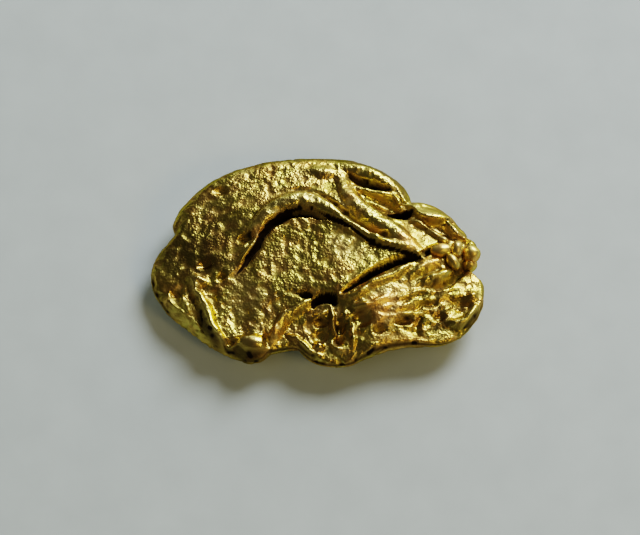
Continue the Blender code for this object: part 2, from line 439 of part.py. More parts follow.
def build_nugget(collection):
    shape = gridded_block()
    block = np.array([v.co for v in shape.verts])
    for vertex, place in zip(shape.verts, on_nugget(block)):
        vertex.co = place
    shape.normal_update()
    dented = [v.co + v.normal * dents(v.co) for v in shape.verts]
    for vertex, place in zip(shape.verts, dented):
        vertex.co = place * METRES
    mesh = bpy.data.meshes.new("nugget")
    shape.to_mesh(mesh)
    shape.free()
    nugget = bpy.data.objects.new("nugget", mesh)
    collection.objects.link(nugget)
    tumble(nugget)
    thin_out(nugget)
    return nugget


def tumble(nugget):
    """Rolling in the river bed takes the sharpness off every edge."""
    worn = nugget.modifiers.new("tumbled", "SMOOTH")
    worn.factor = 0.5
    worn.iterations = TUMBLING


def thin_out(nugget):
    """Fewer triangles: many on the creases, few where the metal is smooth."""
    nugget.data.calc_loop_triangles()
    thinner = nugget.modifiers.new("thinner", "DECIMATE")
    thinner.ratio = MOST_TRIANGLES / len(nugget.data.loop_triangles)


def wear_flat(nugget, cutters):
    """Cuts the belly off at the resting plane, which leaves the flat patch that it lies on."""
    bpy.ops.mesh.primitive_cube_add(size=2 * LENGTH * METRES, location=(0, 0, -LENGTH * METRES))
    table = bpy.context.object
    table.name = "resting_plane"
    table.hide_render = True
    table.display_type = "WIRE"
    for collection in list(table.users_collection):
        collection.objects.unlink(table)
    cutters.objects.link(table)
    cut = nugget.modifiers.new("worn_flat", "BOOLEAN")
    cut.operation = "DIFFERENCE"
    cut.solver = "EXACT"
    cut.object = table


def native_gold():
    material = bpy.data.materials.new("native_gold")
    material.use_nodes = True
    shader = material.node_tree.nodes["Principled BSDF"]
    shader.inputs["Base Color"].default_value = GOLD
    shader.inputs["Metallic"].default_value = 1.0
    shader.inputs["Roughness"].default_value = GOLD_ROUGHNESS
    return material


def new_collection(name):
    collection = bpy.data.collections.new(name)
    bpy.context.scene.collection.children.link(collection)
    return collection


def main():
    clear_scene()
    nugget = build_nugget(new_collection("gold_nugget"))
    nugget.data.materials.append(native_gold())
    wear_flat(nugget, new_collection("cutters"))


main()
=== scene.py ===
# %% [markdown]
# # A gold nugget
# The nugget is about 14 mm long: a flat piece of native gold that was folded over itself and then
# rolled in a river. Its CAD solid is already the right shape and size. This notebook gives it the
# skin of the real thing: crisp lips on the creases, grain, grime in the hollows and worn gold.
# First the packed solid is loaded. Its box is kept, because the finished skin has to fill it.

# %% Load the solid
import math

import bmesh
import bpy
import numpy as np
from mathutils import Matrix, Vector, noise


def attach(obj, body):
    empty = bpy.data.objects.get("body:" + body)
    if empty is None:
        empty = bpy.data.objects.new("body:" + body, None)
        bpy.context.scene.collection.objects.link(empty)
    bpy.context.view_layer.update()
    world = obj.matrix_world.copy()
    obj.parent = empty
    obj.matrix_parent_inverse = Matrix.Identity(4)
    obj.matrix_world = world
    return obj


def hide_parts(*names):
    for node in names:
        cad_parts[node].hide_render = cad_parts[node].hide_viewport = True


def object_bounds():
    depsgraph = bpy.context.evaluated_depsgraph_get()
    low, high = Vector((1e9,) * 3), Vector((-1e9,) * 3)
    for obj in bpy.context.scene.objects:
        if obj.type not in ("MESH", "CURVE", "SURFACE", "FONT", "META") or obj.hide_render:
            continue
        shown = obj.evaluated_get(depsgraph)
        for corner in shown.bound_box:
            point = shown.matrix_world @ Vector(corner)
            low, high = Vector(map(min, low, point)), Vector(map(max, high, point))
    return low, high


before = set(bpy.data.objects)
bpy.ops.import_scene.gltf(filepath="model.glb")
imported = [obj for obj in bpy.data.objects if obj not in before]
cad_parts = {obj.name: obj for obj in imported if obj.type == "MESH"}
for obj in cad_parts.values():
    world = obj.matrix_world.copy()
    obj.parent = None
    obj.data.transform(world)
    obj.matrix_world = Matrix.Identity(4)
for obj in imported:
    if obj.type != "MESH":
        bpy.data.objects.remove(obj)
cad_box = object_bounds()
TABLE_LENGTH = 14.0  # mm from end to end in the tables below
METRES = (cad_box[1].x - cad_box[0].x) / TABLE_LENGTH  # one millimetre of those tables
print("solid:", [round(1000 * side, 2) for side in cad_box[1] - cad_box[0]], "mm")

# %% [markdown]
# ## The outline
# Seen from above, a nugget is a rounded patch with a few bays in it. Every point of its edge can be
# seen from the middle, so the edge is stored as a ring of points, each with the height of the
# nugget's widest line there, and how wide the rounding of the edge is. A smooth curve joins them.

# %% Outline
# x, y, height of the widest line, rounding: all in mm, counter-clockwise from the right.
OUTLINE = [
    (6.80, 0.20, 1.20, 0.30), (6.80, 0.55, 1.20, 0.30), (6.62, 0.82, 1.20, 0.30),
    (6.38, 0.88, 1.30, 0.55), (6.28, 1.18, 1.25, 0.55), (6.00, 1.53, 1.25, 0.55),
    (5.70, 1.93, 1.25, 0.55), (5.30, 2.28, 1.25, 0.55), (4.85, 2.53, 1.25, 0.55),
    (4.35, 2.65, 1.25, 0.55), (4.05, 2.65, 1.25, 0.55), (3.92, 3.00, 1.30, 0.70),
    (3.65, 3.42, 1.30, 0.70), (3.20, 3.84, 1.30, 0.70), (2.70, 4.19, 1.30, 0.70),
    (2.10, 4.44, 1.30, 0.70), (1.40, 4.60, 1.30, 0.70), (0.60, 4.67, 1.30, 0.70),
    (-0.30, 4.68, 1.30, 0.70), (-1.20, 4.64, 1.30, 0.70), (-2.10, 4.50, 1.30, 0.70),
    (-3.00, 4.28, 1.30, 0.70), (-3.80, 4.00, 1.25, 0.70), (-4.45, 3.67, 1.20, 0.70),
    (-5.05, 3.24, 1.20, 0.70), (-5.55, 2.72, 1.20, 0.70), (-5.92, 2.22, 1.20, 0.70),
    (-6.14, 1.58, 1.20, 0.80), (-6.06, 1.24, 0.98, 0.45), (-6.40, 0.80, 0.95, 0.55),
    (-6.82, 0.22, 0.92, 0.65), (-7.02, -0.42, 0.90, 0.70), (-6.98, -1.05, 0.85, 0.75),
    (-6.80, -1.55, 0.75, 0.80), (-6.54, -1.96, 0.85, 0.60), (-6.24, -2.36, 0.70, 0.60),
    (-5.70, -2.80, 0.62, 0.60), (-5.16, -3.24, 0.65, 0.50), (-4.62, -3.68, 0.65, 0.50),
    (-4.04, -4.06, 0.67, 0.50), (-3.42, -4.40, 0.73, 0.50), (-2.78, -4.73, 1.06, 0.26),
    (-2.32, -4.62, 1.09, 0.26), (-2.02, -4.36, 1.12, 0.26), (-1.60, -4.22, 1.14, 0.26),
    (-1.15, -4.14, 1.14, 0.26), (-0.80, -4.19, 1.14, 0.26), (-0.50, -4.47, 1.14, 0.26),
    (-0.15, -4.72, 1.12, 0.26), (0.35, -4.86, 1.09, 0.26), (0.90, -4.89, 1.09, 0.26),
    (1.40, -4.82, 1.09, 0.26), (1.80, -4.62, 1.12, 0.26), (2.30, -4.42, 1.14, 0.26),
    (3.00, -4.16, 1.19, 0.26), (3.85, -4.02, 1.24, 0.26), (4.60, -4.02, 1.26, 0.26),
    (5.30, -3.94, 1.29, 0.26), (5.85, -3.71, 1.34, 0.26), (6.30, -3.27, 1.22, 0.26),
    (6.68, -2.78, 1.25, 0.26), (6.92, -2.23, 1.25, 0.26), (7.00, -1.68, 1.28, 0.26),
    (6.93, -1.15, 1.30, 0.26), (6.70, -0.85, 1.35, 0.26), (6.42, -0.62, 1.40, 0.26),
    (6.22, -0.40, 1.05, 0.30), (6.35, -0.22, 1.10, 0.30), (6.65, -0.10, 1.15, 0.30),
]


def smooth_line(rows, closed=False, steps=8):
    """A Catmull-Rom curve through the rows, every column of which it carries along."""
    rows = np.array(rows, float)
    if closed:
        rows = np.vstack([rows[-1:], rows, rows[:2]])
    else:
        rows = np.vstack([2 * rows[0] - rows[1], rows, 2 * rows[-1] - rows[-2]])
    share = np.linspace(0, 1, steps, endpoint=False)[:, None]
    spans = []
    for before, start, end, after in zip(rows, rows[1:], rows[2:], rows[3:]):
        bend = (2 * before - 5 * start + 4 * end - after) * share**2
        twist = (3 * start - before - 3 * end + after) * share**3
        spans.append(0.5 * (2 * start + (end - before) * share + bend + twist))
    if not closed:
        spans.append(rows[-2:-1])
    return np.vstack(spans)


def edge_at(angle):
    """Radius, height and rounding of the nugget's edge, in each direction from the middle."""
    edge = smooth_line(OUTLINE, closed=True)
    around = np.arctan2(edge[:, 1], edge[:, 0])
    order = np.argsort(around)
    columns = (np.hypot(edge[:, 0], edge[:, 1]), edge[:, 2], edge[:, 3])
    return [
        np.interp(angle, around[order], column[order], period=2 * math.pi) for column in columns
    ]


print("outline:", len(OUTLINE), "points")

# %% [markdown]
# ## The broad surface
# Under all its folds the top is a low hill. A surveyor would describe it by spot heights, and so
# does this table. Each spot pulls the surface to its height, less and less with distance.

# %% Spot heights
# x, y, height above the table: all in mm.
SPOTS = [
    (-4.95, 1.45, 1.75), (-3.25, 2.70, 2.10), (-1.15, 3.40, 2.15), (0.50, 3.80, 2.10),
    (2.20, 3.70, 1.95), (3.50, 2.90, 1.75), (-6.45, -0.65, 1.25), (-5.60, -0.20, 1.60),
    (-4.35, 0.20, 1.95), (-2.35, 1.70, 2.30), (-0.75, 2.20, 2.40), (1.15, 1.60, 2.45),
    (3.05, 0.65, 2.36), (4.55, 0.00, 2.30), (-3.25, -1.60, 1.86), (-2.00, -0.75, 1.99),
    (-0.75, 0.15, 2.08), (0.95, 0.10, 2.24), (2.65, -0.25, 2.18), (-0.75, -1.75, 2.03),
    (0.95, -1.40, 2.30), (-2.45, -3.20, 1.80), (1.80, -2.30, 2.36), (0.75, -3.05, 1.72),
    (3.50, -1.40, 2.32), (4.75, -0.95, 2.05), (3.05, -3.10, 2.05), (4.75, -2.55, 1.80),
    (6.20, -1.95, 1.60), (3.50, -3.85, 1.44), (5.60, -3.50, 1.34), (-0.30, -3.20, 1.70),
    (0.50, -4.20, 1.30), (-1.15, -3.80, 1.32), (-2.65, -4.15, 1.36), (-4.75, -2.00, 1.65),
    (-4.05, -3.60, 1.40), (-5.80, -1.90, 1.20), (-4.95, -2.95, 1.20), (4.55, 1.95, 1.70),
    (5.60, 1.00, 1.75), (6.45, 0.10, 1.45),
]
SPOT_REACH = 1.15  # mm
FAINTEST_PULL = 1e-9  # keeps the sum of the pulls above zero


def broad_height(x, y):
    """The top surface without its ridges and creases, smoothly through the spot heights."""
    spots = np.array(SPOTS)
    apart = (x[:, None] - spots[:, 0]) ** 2 + (y[:, None] - spots[:, 1]) ** 2
    weight = np.exp(-apart / SPOT_REACH**2) + FAINTEST_PULL
    return weight @ spots[:, 2] / weight.sum(1)


print("spot heights:", len(SPOTS))

# %% [markdown]
# ## Ridges
# The folds are long features: a thick curved ridge like a brow, a second ridge behind it, the lips
# where two flaps meet. Sculpting them by hand could not be repeated exactly, so each one is a
# stroke: a line of points with a half width and a height, like the pressure of a brush. A stroke
# can reach further to one side than to the other, which makes one flank steep and the other one
# gentle. Sharpness 0.5 gives a round roll with a crisp foot, 1 a crest, and 2 a soft swell.

# %% Raised strokes
# name: (reach to the left, reach to the right, sharpness, points of x, y, half width, height)
RAISED_STROKES = {
    "brow": (1.0, 1.0, 0.65, [
        (-2.78, 0.55, 0.26, 0.10), (-2.52, 1.02, 0.40, 0.26), (-2.12, 1.58, 0.46, 0.34),
        (-1.62, 1.98, 0.48, 0.38), (-0.97, 2.24, 0.50, 0.42), (-0.40, 2.22, 0.50, 0.42),
        (0.15, 2.02, 0.44, 0.38), (0.66, 1.68, 0.38, 0.34), (1.22, 1.22, 0.32, 0.30),
        (1.92, 0.74, 0.28, 0.28), (2.55, 0.44, 0.28, 0.30), (3.10, 0.22, 0.30, 0.28),
        (3.80, 0.04, 0.34, 0.28), (4.30, -0.14, 0.28, 0.16)]),
    "crevice_lip": (1.0, 1.0, 0.8, [
        (-1.02, 1.76, 0.05, 0.08), (-0.55, 1.80, 0.07, 0.26), (-0.10, 1.68, 0.07, 0.28),
        (0.36, 1.38, 0.07, 0.24), (0.82, 1.16, 0.05, 0.08)]),
    "curled_lip": (1.0, 0.9, 0.7, [
        (-2.05, 1.42, 0.10, 0.08), (-2.42, 0.85, 0.13, 0.24), (-2.56, 0.42, 0.14, 0.30),
        (-2.80, 0.12, 0.15, 0.32), (-3.06, -0.16, 0.15, 0.28), (-3.30, -0.45, 0.10, 0.12)]),
    "second_ridge": (0.9, 1.0, 0.8, [
        (0.85, 3.72, 0.26, 0.06), (1.10, 3.30, 0.34, 0.16), (1.22, 2.88, 0.38, 0.26),
        (1.42, 2.45, 0.42, 0.32), (1.88, 1.92, 0.46, 0.34), (2.54, 1.36, 0.46, 0.34),
        (3.14, 0.94, 0.44, 0.34), (3.68, 0.46, 0.38, 0.32), (4.10, 0.02, 0.28, 0.20)]),
    "far_rim": (1.0, 1.3, 0.8, [
        (1.00, 4.15, 0.22, 0.06), (1.70, 4.00, 0.32, 0.20), (2.40, 3.74, 0.38, 0.30),
        (3.00, 3.40, 0.36, 0.30), (3.50, 2.95, 0.28, 0.20)]),
    "slot_lip": (1.0, 1.0, 0.8, [
        (1.60, 3.02, 0.12, 0.06), (1.95, 2.92, 0.15, 0.18), (2.45, 2.84, 0.16, 0.22),
        (2.90, 2.76, 0.18, 0.22), (3.30, 2.80, 0.14, 0.10)]),
    "corner_wrinkle_1": (1.0, 1.0, 0.6, [
        (3.16, 2.86, 0.10, 0.12), (3.38, 2.55, 0.13, 0.24), (3.55, 2.22, 0.10, 0.14)]),
    "corner_wrinkle_2": (1.0, 1.0, 0.6, [
        (3.46, 2.92, 0.09, 0.10), (3.64, 2.64, 0.12, 0.20), (3.82, 2.34, 0.09, 0.12)]),
    "tip_face": (2.2, 0.35, 1.0, [
        (4.08, 2.02, 0.22, 0.24), (4.30, 1.78, 0.26, 0.36), (4.70, 1.60, 0.28, 0.42),
        (5.15, 1.57, 0.26, 0.38), (5.50, 1.60, 0.20, 0.24)]),
    "tip_edge": (1.0, 1.0, 0.7, [
        (5.50, 1.52, 0.14, 0.15), (5.72, 1.15, 0.19, 0.30),
        (5.92, 0.92, 0.20, 0.30), (6.22, 0.84, 0.16, 0.18)]),
    "tip_vein": (1.0, 1.0, 0.8, [
        (3.95, 1.50, 0.14, 0.12), (4.30, 1.40, 0.18, 0.26), (4.65, 1.12, 0.18, 0.28),
        (5.05, 0.80, 0.16, 0.26), (5.42, 0.62, 0.12, 0.14)]),
    "bowl_lip": (1.0, 0.8, 1.0, [
        (1.45, -1.42, 0.08, 0.03), (2.05, -0.98, 0.11, 0.08),
        (2.75, -0.56, 0.11, 0.09), (3.50, -0.26, 0.08, 0.04)]),
    "slit_lip": (0.8, 1.2, 0.8, [
        (0.92, -2.06, 0.10, 0.10), (1.42, -2.14, 0.16, 0.22), (1.90, -1.90, 0.17, 0.26),
        (2.24, -1.58, 0.18, 0.28), (2.66, -1.38, 0.18, 0.27), (3.25, -1.12, 0.18, 0.25),
        (3.62, -0.84, 0.17, 0.24), (4.00, -0.58, 0.12, 0.14)]),
    "second_lip": (1.0, 1.3, 0.8, [
        (1.35, -2.50, 0.08, 0.05), (1.80, -2.56, 0.14, 0.18), (2.30, -2.46, 0.14, 0.20),
        (2.75, -2.22, 0.13, 0.16), (3.02, -2.00, 0.08, 0.05)]),
    "lower_fold": (1.5, 0.6, 1.0, [
        (-0.28, -2.14, 0.12, 0.12), (-0.60, -2.34, 0.20, 0.26), (-0.98, -2.58, 0.24, 0.32),
        (-1.38, -2.80, 0.26, 0.34), (-1.60, -3.08, 0.26, 0.36), (-1.82, -3.52, 0.24, 0.34),
        (-2.06, -3.92, 0.18, 0.18)]),
    "hole_web": (1.0, 1.0, 0.9, [
        (0.56, -2.56, 0.07, 0.12), (0.64, -2.90, 0.12, 0.24),
        (0.62, -3.28, 0.12, 0.24), (0.80, -3.66, 0.08, 0.10)]),
    "hole_sill": (1.0, 1.0, 0.9, [
        (0.44, -2.64, 0.07, 0.10), (0.12, -2.82, 0.11, 0.22), (-0.26, -2.96, 0.08, 0.08)]),
    "near_rim": (1.0, 1.0, 0.8, [
        (-1.20, -3.66, 0.10, 0.08), (-0.85, -3.80, 0.15, 0.20), (-0.55, -4.06, 0.15, 0.20),
        (-0.22, -4.38, 0.14, 0.16), (0.20, -4.55, 0.10, 0.08)]),
    "pit_lip": (1.0, 1.0, 0.8, [
        (0.60, -4.05, 0.10, 0.10), (0.82, -4.28, 0.16, 0.24), (1.25, -4.30, 0.14, 0.16)]),
    "pit_wall": (1.0, 1.0, 0.8, [
        (1.42, -3.55, 0.10, 0.10), (1.50, -3.88, 0.13, 0.22), (1.46, -4.20, 0.12, 0.16)]),
    "left_rim": (0.9, 1.2, 0.8, [
        (-5.26, -0.90, 0.18, 0.16), (-5.14, -1.32, 0.24, 0.32), (-5.00, -1.76, 0.26, 0.38),
        (-4.78, -2.16, 0.28, 0.44), (-4.56, -2.60, 0.29, 0.46), (-4.46, -3.05, 0.28, 0.48),
        (-4.26, -3.46, 0.27, 0.48), (-3.98, -3.82, 0.20, 0.28)]),
    "left_knuckle": (1.0, 1.0, 0.8, [
        (-5.44, -0.98, 0.14, 0.12), (-5.06, -1.08, 0.20, 0.32), (-4.64, -1.26, 0.14, 0.16)]),
    "wall_fold_1": (1.0, 1.0, 0.9, [
        (-5.70, -1.80, 0.10, 0.10), (-5.50, -2.15, 0.15, 0.22), (-5.36, -2.58, 0.10, 0.12)]),
    "wall_fold_2": (1.0, 1.0, 0.9, [
        (-5.30, -1.95, 0.10, 0.10), (-5.12, -2.40, 0.14, 0.22), (-4.98, -2.88, 0.10, 0.12)]),
    "wall_ledge": (1.0, 1.0, 0.9, [
        (-6.40, -1.70, 0.08, 0.05), (-5.95, -2.24, 0.12, 0.14),
        (-5.35, -2.76, 0.13, 0.16), (-4.80, -3.16, 0.08, 0.06)]),
    "lobe_rim": (1.0, 1.0, 0.8, [
        (5.40, -2.98, 0.14, 0.14), (5.80, -3.12, 0.22, 0.30), (6.18, -2.98, 0.22, 0.30),
        (6.46, -2.68, 0.20, 0.27), (6.62, -2.32, 0.14, 0.12)]),
    "upper_bar": (1.0, 1.0, 0.7, [
        (3.80, -1.24, 0.12, 0.08), (4.20, -0.96, 0.20, 0.24),
        (4.60, -0.68, 0.21, 0.28), (5.05, -0.44, 0.14, 0.16)]),
    "lower_bar": (1.0, 1.0, 0.7, [
        (4.30, -1.50, 0.14, 0.10), (4.75, -1.28, 0.22, 0.28), (5.20, -1.12, 0.22, 0.32),
        (5.60, -0.86, 0.17, 0.24), (5.82, -0.66, 0.10, 0.10)]),
    "lobe_stripe_1": (1.0, 1.0, 0.9, [
        (3.35, -2.18, 0.08, 0.08), (3.90, -2.00, 0.13, 0.18), (4.50, -1.74, 0.08, 0.08)]),
    "lobe_stripe_2": (1.0, 1.0, 0.9, [
        (3.20, -2.66, 0.08, 0.08), (3.70, -2.50, 0.12, 0.16), (4.15, -2.30, 0.08, 0.08)]),
    "eye_lid": (1.0, 1.0, 0.9, [
        (3.05, -3.02, 0.09, 0.10), (3.50, -2.86, 0.12, 0.18), (3.98, -2.80, 0.09, 0.10)]),
}
print("raised strokes:", len(RAISED_STROKES))

# %% [markdown]
# ## Creases
# Crevices, slits and holes are strokes as well, and their height is a depth. None of them goes
# through the metal. A hole that is deep and narrow looks bottomless anyway, because no light comes
# back out of it, and a closed skin is simpler than one with real holes.

# %% Sunk strokes
# The same rows as above, with a depth for the height.
SUNK_STROKES = {
    "brow_crevice": (1.0, 1.0, 0.7, [
        (-3.42, -1.02, 0.08, 0.04), (-3.08, -0.56, 0.10, 0.14), (-2.78, -0.10, 0.13, 0.24),
        (-2.48, 0.34, 0.14, 0.28), (-2.26, 0.76, 0.14, 0.32), (-1.96, 1.17, 0.15, 0.36),
        (-1.44, 1.51, 0.17, 0.40), (-0.95, 1.69, 0.18, 0.44), (-0.42, 1.70, 0.18, 0.44),
        (0.28, 1.46, 0.11, 0.28), (0.86, 1.22, 0.09, 0.20), (1.42, 0.92, 0.07, 0.15),
        (2.00, 0.50, 0.07, 0.15), (2.47, 0.20, 0.08, 0.20),
        (3.25, -0.03, 0.09, 0.24), (4.00, -0.25, 0.08, 0.24)]),
    "ridge_valley": (1.0, 1.0, 1.3, [
        (-1.60, 2.66, 0.18, 0.04), (-0.70, 2.76, 0.24, 0.08), (-0.10, 2.60, 0.24, 0.14),
        (0.32, 2.38, 0.22, 0.22), (0.74, 2.05, 0.18, 0.28), (1.16, 1.64, 0.15, 0.32),
        (1.52, 1.33, 0.13, 0.32), (1.95, 1.02, 0.12, 0.30),
        (2.40, 0.76, 0.11, 0.24), (3.00, 0.50, 0.09, 0.12)]),
    "far_slot": (1.0, 1.0, 0.7, [
        (1.34, 3.72, 0.08, 0.10), (1.60, 3.44, 0.13, 0.34), (2.05, 3.24, 0.15, 0.44),
        (2.60, 3.10, 0.13, 0.40), (3.05, 3.04, 0.08, 0.24)]),
    "far_hollow": (1.0, 1.0, 1.5, [
        (1.85, 2.60, 0.28, 0.10), (2.30, 2.40, 0.38, 0.22),
        (2.80, 2.26, 0.40, 0.28), (3.20, 2.06, 0.32, 0.28)]),
    "far_hole": (1.0, 1.0, 0.6, [
        (3.02, 1.78, 0.12, 0.30), (3.36, 1.80, 0.22, 0.75),
        (3.70, 1.86, 0.20, 0.70), (3.98, 2.02, 0.10, 0.30)]),
    "tip_hollow": (1.0, 1.0, 1.2, [
        (4.50, 1.36, 0.16, 0.08), (5.05, 1.18, 0.26, 0.20),
        (5.45, 1.00, 0.24, 0.18), (5.75, 0.75, 0.14, 0.10)]),
    "bead_crack": (1.0, 1.0, 0.8, [
        (4.45, -0.28, 0.07, 0.25), (4.66, -0.02, 0.12, 0.50),
        (4.95, 0.22, 0.11, 0.36), (5.42, 0.36, 0.08, 0.22)]),
    "bar_groove": (1.0, 1.0, 0.9, [
        (4.05, -1.34, 0.08, 0.10), (4.60, -1.02, 0.10, 0.24), (5.10, -0.76, 0.08, 0.14)]),
    "lobe_groove": (1.0, 1.0, 0.8, [
        (4.60, -1.66, 0.07, 0.10), (5.10, -1.54, 0.11, 0.34), (5.56, -1.28, 0.14, 0.48),
        (5.90, -0.90, 0.16, 0.70), (6.20, -0.55, 0.12, 0.60)]),
    "slit": (1.0, 1.0, 0.6, [
        (1.05, -1.92, 0.05, 0.15), (1.32, -1.76, 0.09, 0.40), (1.70, -1.47, 0.12, 0.60),
        (2.21, -1.12, 0.14, 0.68), (2.80, -0.76, 0.15, 0.70), (3.30, -0.52, 0.14, 0.66),
        (3.80, -0.38, 0.12, 0.55), (4.10, -0.32, 0.09, 0.40), (4.34, -0.36, 0.05, 0.20)]),
    "arch_hole": (1.0, 1.0, 0.6, [
        (-0.20, -2.38, 0.10, 0.30), (0.02, -2.16, 0.19, 0.62), (0.32, -2.06, 0.23, 0.75),
        (0.58, -2.12, 0.21, 0.70), (0.74, -2.36, 0.11, 0.30)]),
    "hole_dash": (1.0, 1.0, 0.7, [
        (-0.84, -1.86, 0.06, 0.15), (-0.58, -1.93, 0.10, 0.42), (-0.28, -2.02, 0.07, 0.25)]),
    "left_valley": (1.0, 1.0, 1.6, [
        (-2.95, -0.90, 0.45, 0.06), (-3.20, -1.50, 0.75, 0.12), (-3.30, -2.15, 0.85, 0.16),
        (-3.25, -2.80, 0.80, 0.16), (-3.10, -3.40, 0.50, 0.10)]),
    "rim_foot": (1.0, 1.0, 1.0, [
        (-5.45, -1.30, 0.12, 0.05), (-5.30, -1.72, 0.16, 0.14), (-5.14, -2.20, 0.18, 0.18),
        (-4.98, -2.70, 0.18, 0.20), (-4.72, -3.20, 0.16, 0.20), (-4.34, -3.58, 0.12, 0.12)]),
    "flat_groove": (1.0, 1.0, 0.9, [
        (3.98, -2.66, 0.08, 0.12), (4.40, -2.36, 0.12, 0.26), (4.95, -2.26, 0.10, 0.26)]),
    "flat_end": (1.0, 1.0, 0.9, [
        (4.18, -3.66, 0.10, 0.22), (4.12, -3.28, 0.12, 0.28), (4.30, -2.88, 0.08, 0.15)]),
    "bump_crease": (1.0, 1.0, 0.8, [
        (-2.20, -3.50, 0.07, 0.12), (-2.14, -3.84, 0.10, 0.30), (-2.06, -4.14, 0.09, 0.28)]),
}
print("sunk strokes:", len(SUNK_STROKES))

# %% [markdown]
# ## Lumps and pits
# Short features are ovals: bumps and facets that were pressed up, and pits where a grain of quartz
# has fallen out. They need no line of points, only a middle, two half sizes and a turn.

# %% Lumps and pits
# name: (x, y, half length, half width, turn in degrees, sharpness, height or depth)
RAISED_LUMPS = {
    "near_bump": (-2.74, -4.02, 0.84, 0.46, -6, 0.8, 0.44),
    "near_facet": (0.06, -4.16, 0.26, 0.24, 0, 0.9, 0.26),
    "left_facet": (-3.08, 0.16, 0.26, 0.20, 30, 0.9, 0.22),
    "flat_panel": (2.95, -2.75, 0.80, 0.70, 60, 0.9, 0.14),
    "lobe_knob": (6.48, -1.82, 0.24, 0.22, 0, 0.8, 0.20),
    "brow_bulge": (2.50, 0.42, 0.34, 0.27, -20, 0.7, 0.46),
    "far_shoulder": (0.25, 3.72, 0.80, 0.36, -5, 1.6, 0.18),
    "tip_patch": (4.22, 2.22, 0.24, 0.32, 20, 0.9, 0.18),
    "web_knob": (1.12, -2.86, 0.20, 0.26, 0, 0.9, 0.18),
}
SUNK_LUMPS = {
    "temple_pit": (-2.98, 0.66, 0.36, 0.20, 8, 0.8, 0.42),
    "far_dimple": (-4.10, 2.88, 0.38, 0.20, -10, 1.2, 0.22),
    "patch_hollow": (-4.70, -0.42, 0.42, 0.26, 10, 1.4, 0.22),
    "cheek_pit": (-4.00, -0.98, 0.26, 0.14, 50, 0.9, 0.30),
    "knuckle_pit": (-4.98, -1.55, 0.18, 0.10, 10, 0.9, 0.24),
    "left_dimple": (-5.98, -1.62, 0.26, 0.20, -30, 0.9, 0.28),
    "corner_pit": (-3.54, -3.88, 0.26, 0.16, 0, 0.8, 0.30),
    "middle_hollow": (1.86, -3.04, 0.52, 0.46, 10, 1.4, 0.32),
    "sill_hollow": (0.16, -3.12, 0.32, 0.20, 10, 1.0, 0.34),
    "web_hollow": (1.00, -3.40, 0.26, 0.30, 0, 1.2, 0.30),
    "near_basin": (0.10, -3.68, 0.46, 0.34, 0, 1.4, 0.22),
    "near_pit": (0.92, -3.86, 0.22, 0.20, 0, 0.7, 0.40),
    "lower_pit_1": (2.60, -3.48, 0.30, 0.22, 20, 0.9, 0.30),
    "eye_pit": (3.56, -3.10, 0.42, 0.17, 14, 0.8, 0.30),
    "lobe_basin": (5.90, -2.30, 0.55, 0.36, -10, 1.2, 0.28),
    "lobe_pit": (6.34, -2.28, 0.20, 0.16, 0, 0.9, 0.24),
    "lobe_dent": (5.05, -2.85, 0.30, 0.24, 0, 1.2, 0.16),
    "gap_pit": (5.92, -0.84, 0.14, 0.11, 40, 0.7, 0.40),
}
print("lumps:", len(RAISED_LUMPS), "pits:", len(SUNK_LUMPS))

# %% [markdown]
# ## The underside
# The nugget rests on a patch that is worn flat. Round it the belly rises to the edge, with a few
# creases of its own. Here a height is a rise into the metal, away from the table.

# %% Underside
# Strokes and ovals again, in the same rows.
UNDER_STROKES = {
    "under_crease": (1.0, 1.0, 0.9, [
        (-5.20, 0.60, 0.15, 0.10), (-4.20, 1.30, 0.28, 0.34), (-3.10, 2.10, 0.32, 0.40),
        (-1.90, 2.85, 0.28, 0.34), (-0.60, 3.30, 0.16, 0.12)]),
    "under_fold": (0.5, 1.6, 1.0, [
        (2.60, 3.10, 0.16, 0.10), (3.40, 2.10, 0.26, 0.30), (3.90, 1.00, 0.30, 0.36),
        (4.60, 0.10, 0.28, 0.34), (5.50, -0.40, 0.18, 0.14)]),
    "under_seam": (1.0, 1.0, 0.7, [
        (1.60, -3.60, 0.10, 0.10), (2.60, -2.95, 0.15, 0.30),
        (3.70, -2.60, 0.16, 0.32), (4.80, -2.70, 0.10, 0.15)]),
    "under_groove": (1.0, 1.0, 0.8, [
        (-4.60, -2.60, 0.12, 0.10), (-3.70, -2.30, 0.20, 0.26),
        (-2.90, -2.60, 0.20, 0.26), (-2.20, -3.20, 0.12, 0.12)]),
}
UNDER_LUMPS = {
    "under_dent_1": (-5.40, -0.60, 0.60, 0.42, 20, 1.4, 0.30),
    "under_dent_2": (1.20, 3.10, 0.75, 0.40, -10, 1.4, 0.32),
    "under_dent_3": (5.40, -1.90, 0.60, 0.45, 30, 1.4, 0.32),
    "under_pit_1": (-1.60, -3.10, 0.26, 0.18, 30, 0.8, 0.26),
    "under_pit_2": (2.90, 1.20, 0.24, 0.18, -20, 0.8, 0.26),
    "under_pit_3": (-3.60, 0.20, 0.22, 0.16, 60, 0.8, 0.22),
}
UNDER_ROUNDING = 1.5  # mm
WORN_DEPTH = 0.10  # mm worn off the belly
BELLY_RISE = 0.85  # mm
FLAT_REACH = 0.16  # share of the way to the edge where the belly starts to rise
print("under strokes:", len(UNDER_STROKES), "under lumps:", len(UNDER_LUMPS))

# %% [markdown]
# ## From strokes to heights
# For every point of the surface the nearest place on each stroke is found, and a dome-shaped
# profile gives its share of the stroke's height. Where features overlap, the highest one has to
# rule without a visible seam, so they are joined by a power mean.

# %% Heights
BLEND_POWER = 7


def limited(values):
    """The same numbers, kept from 0 to 1."""
    return np.clip(values, 0, 1)


def dome(share, sharpness):
    """1 in the middle and 0 from a share of 1 outwards."""
    return limited(1 - share**2) ** sharpness


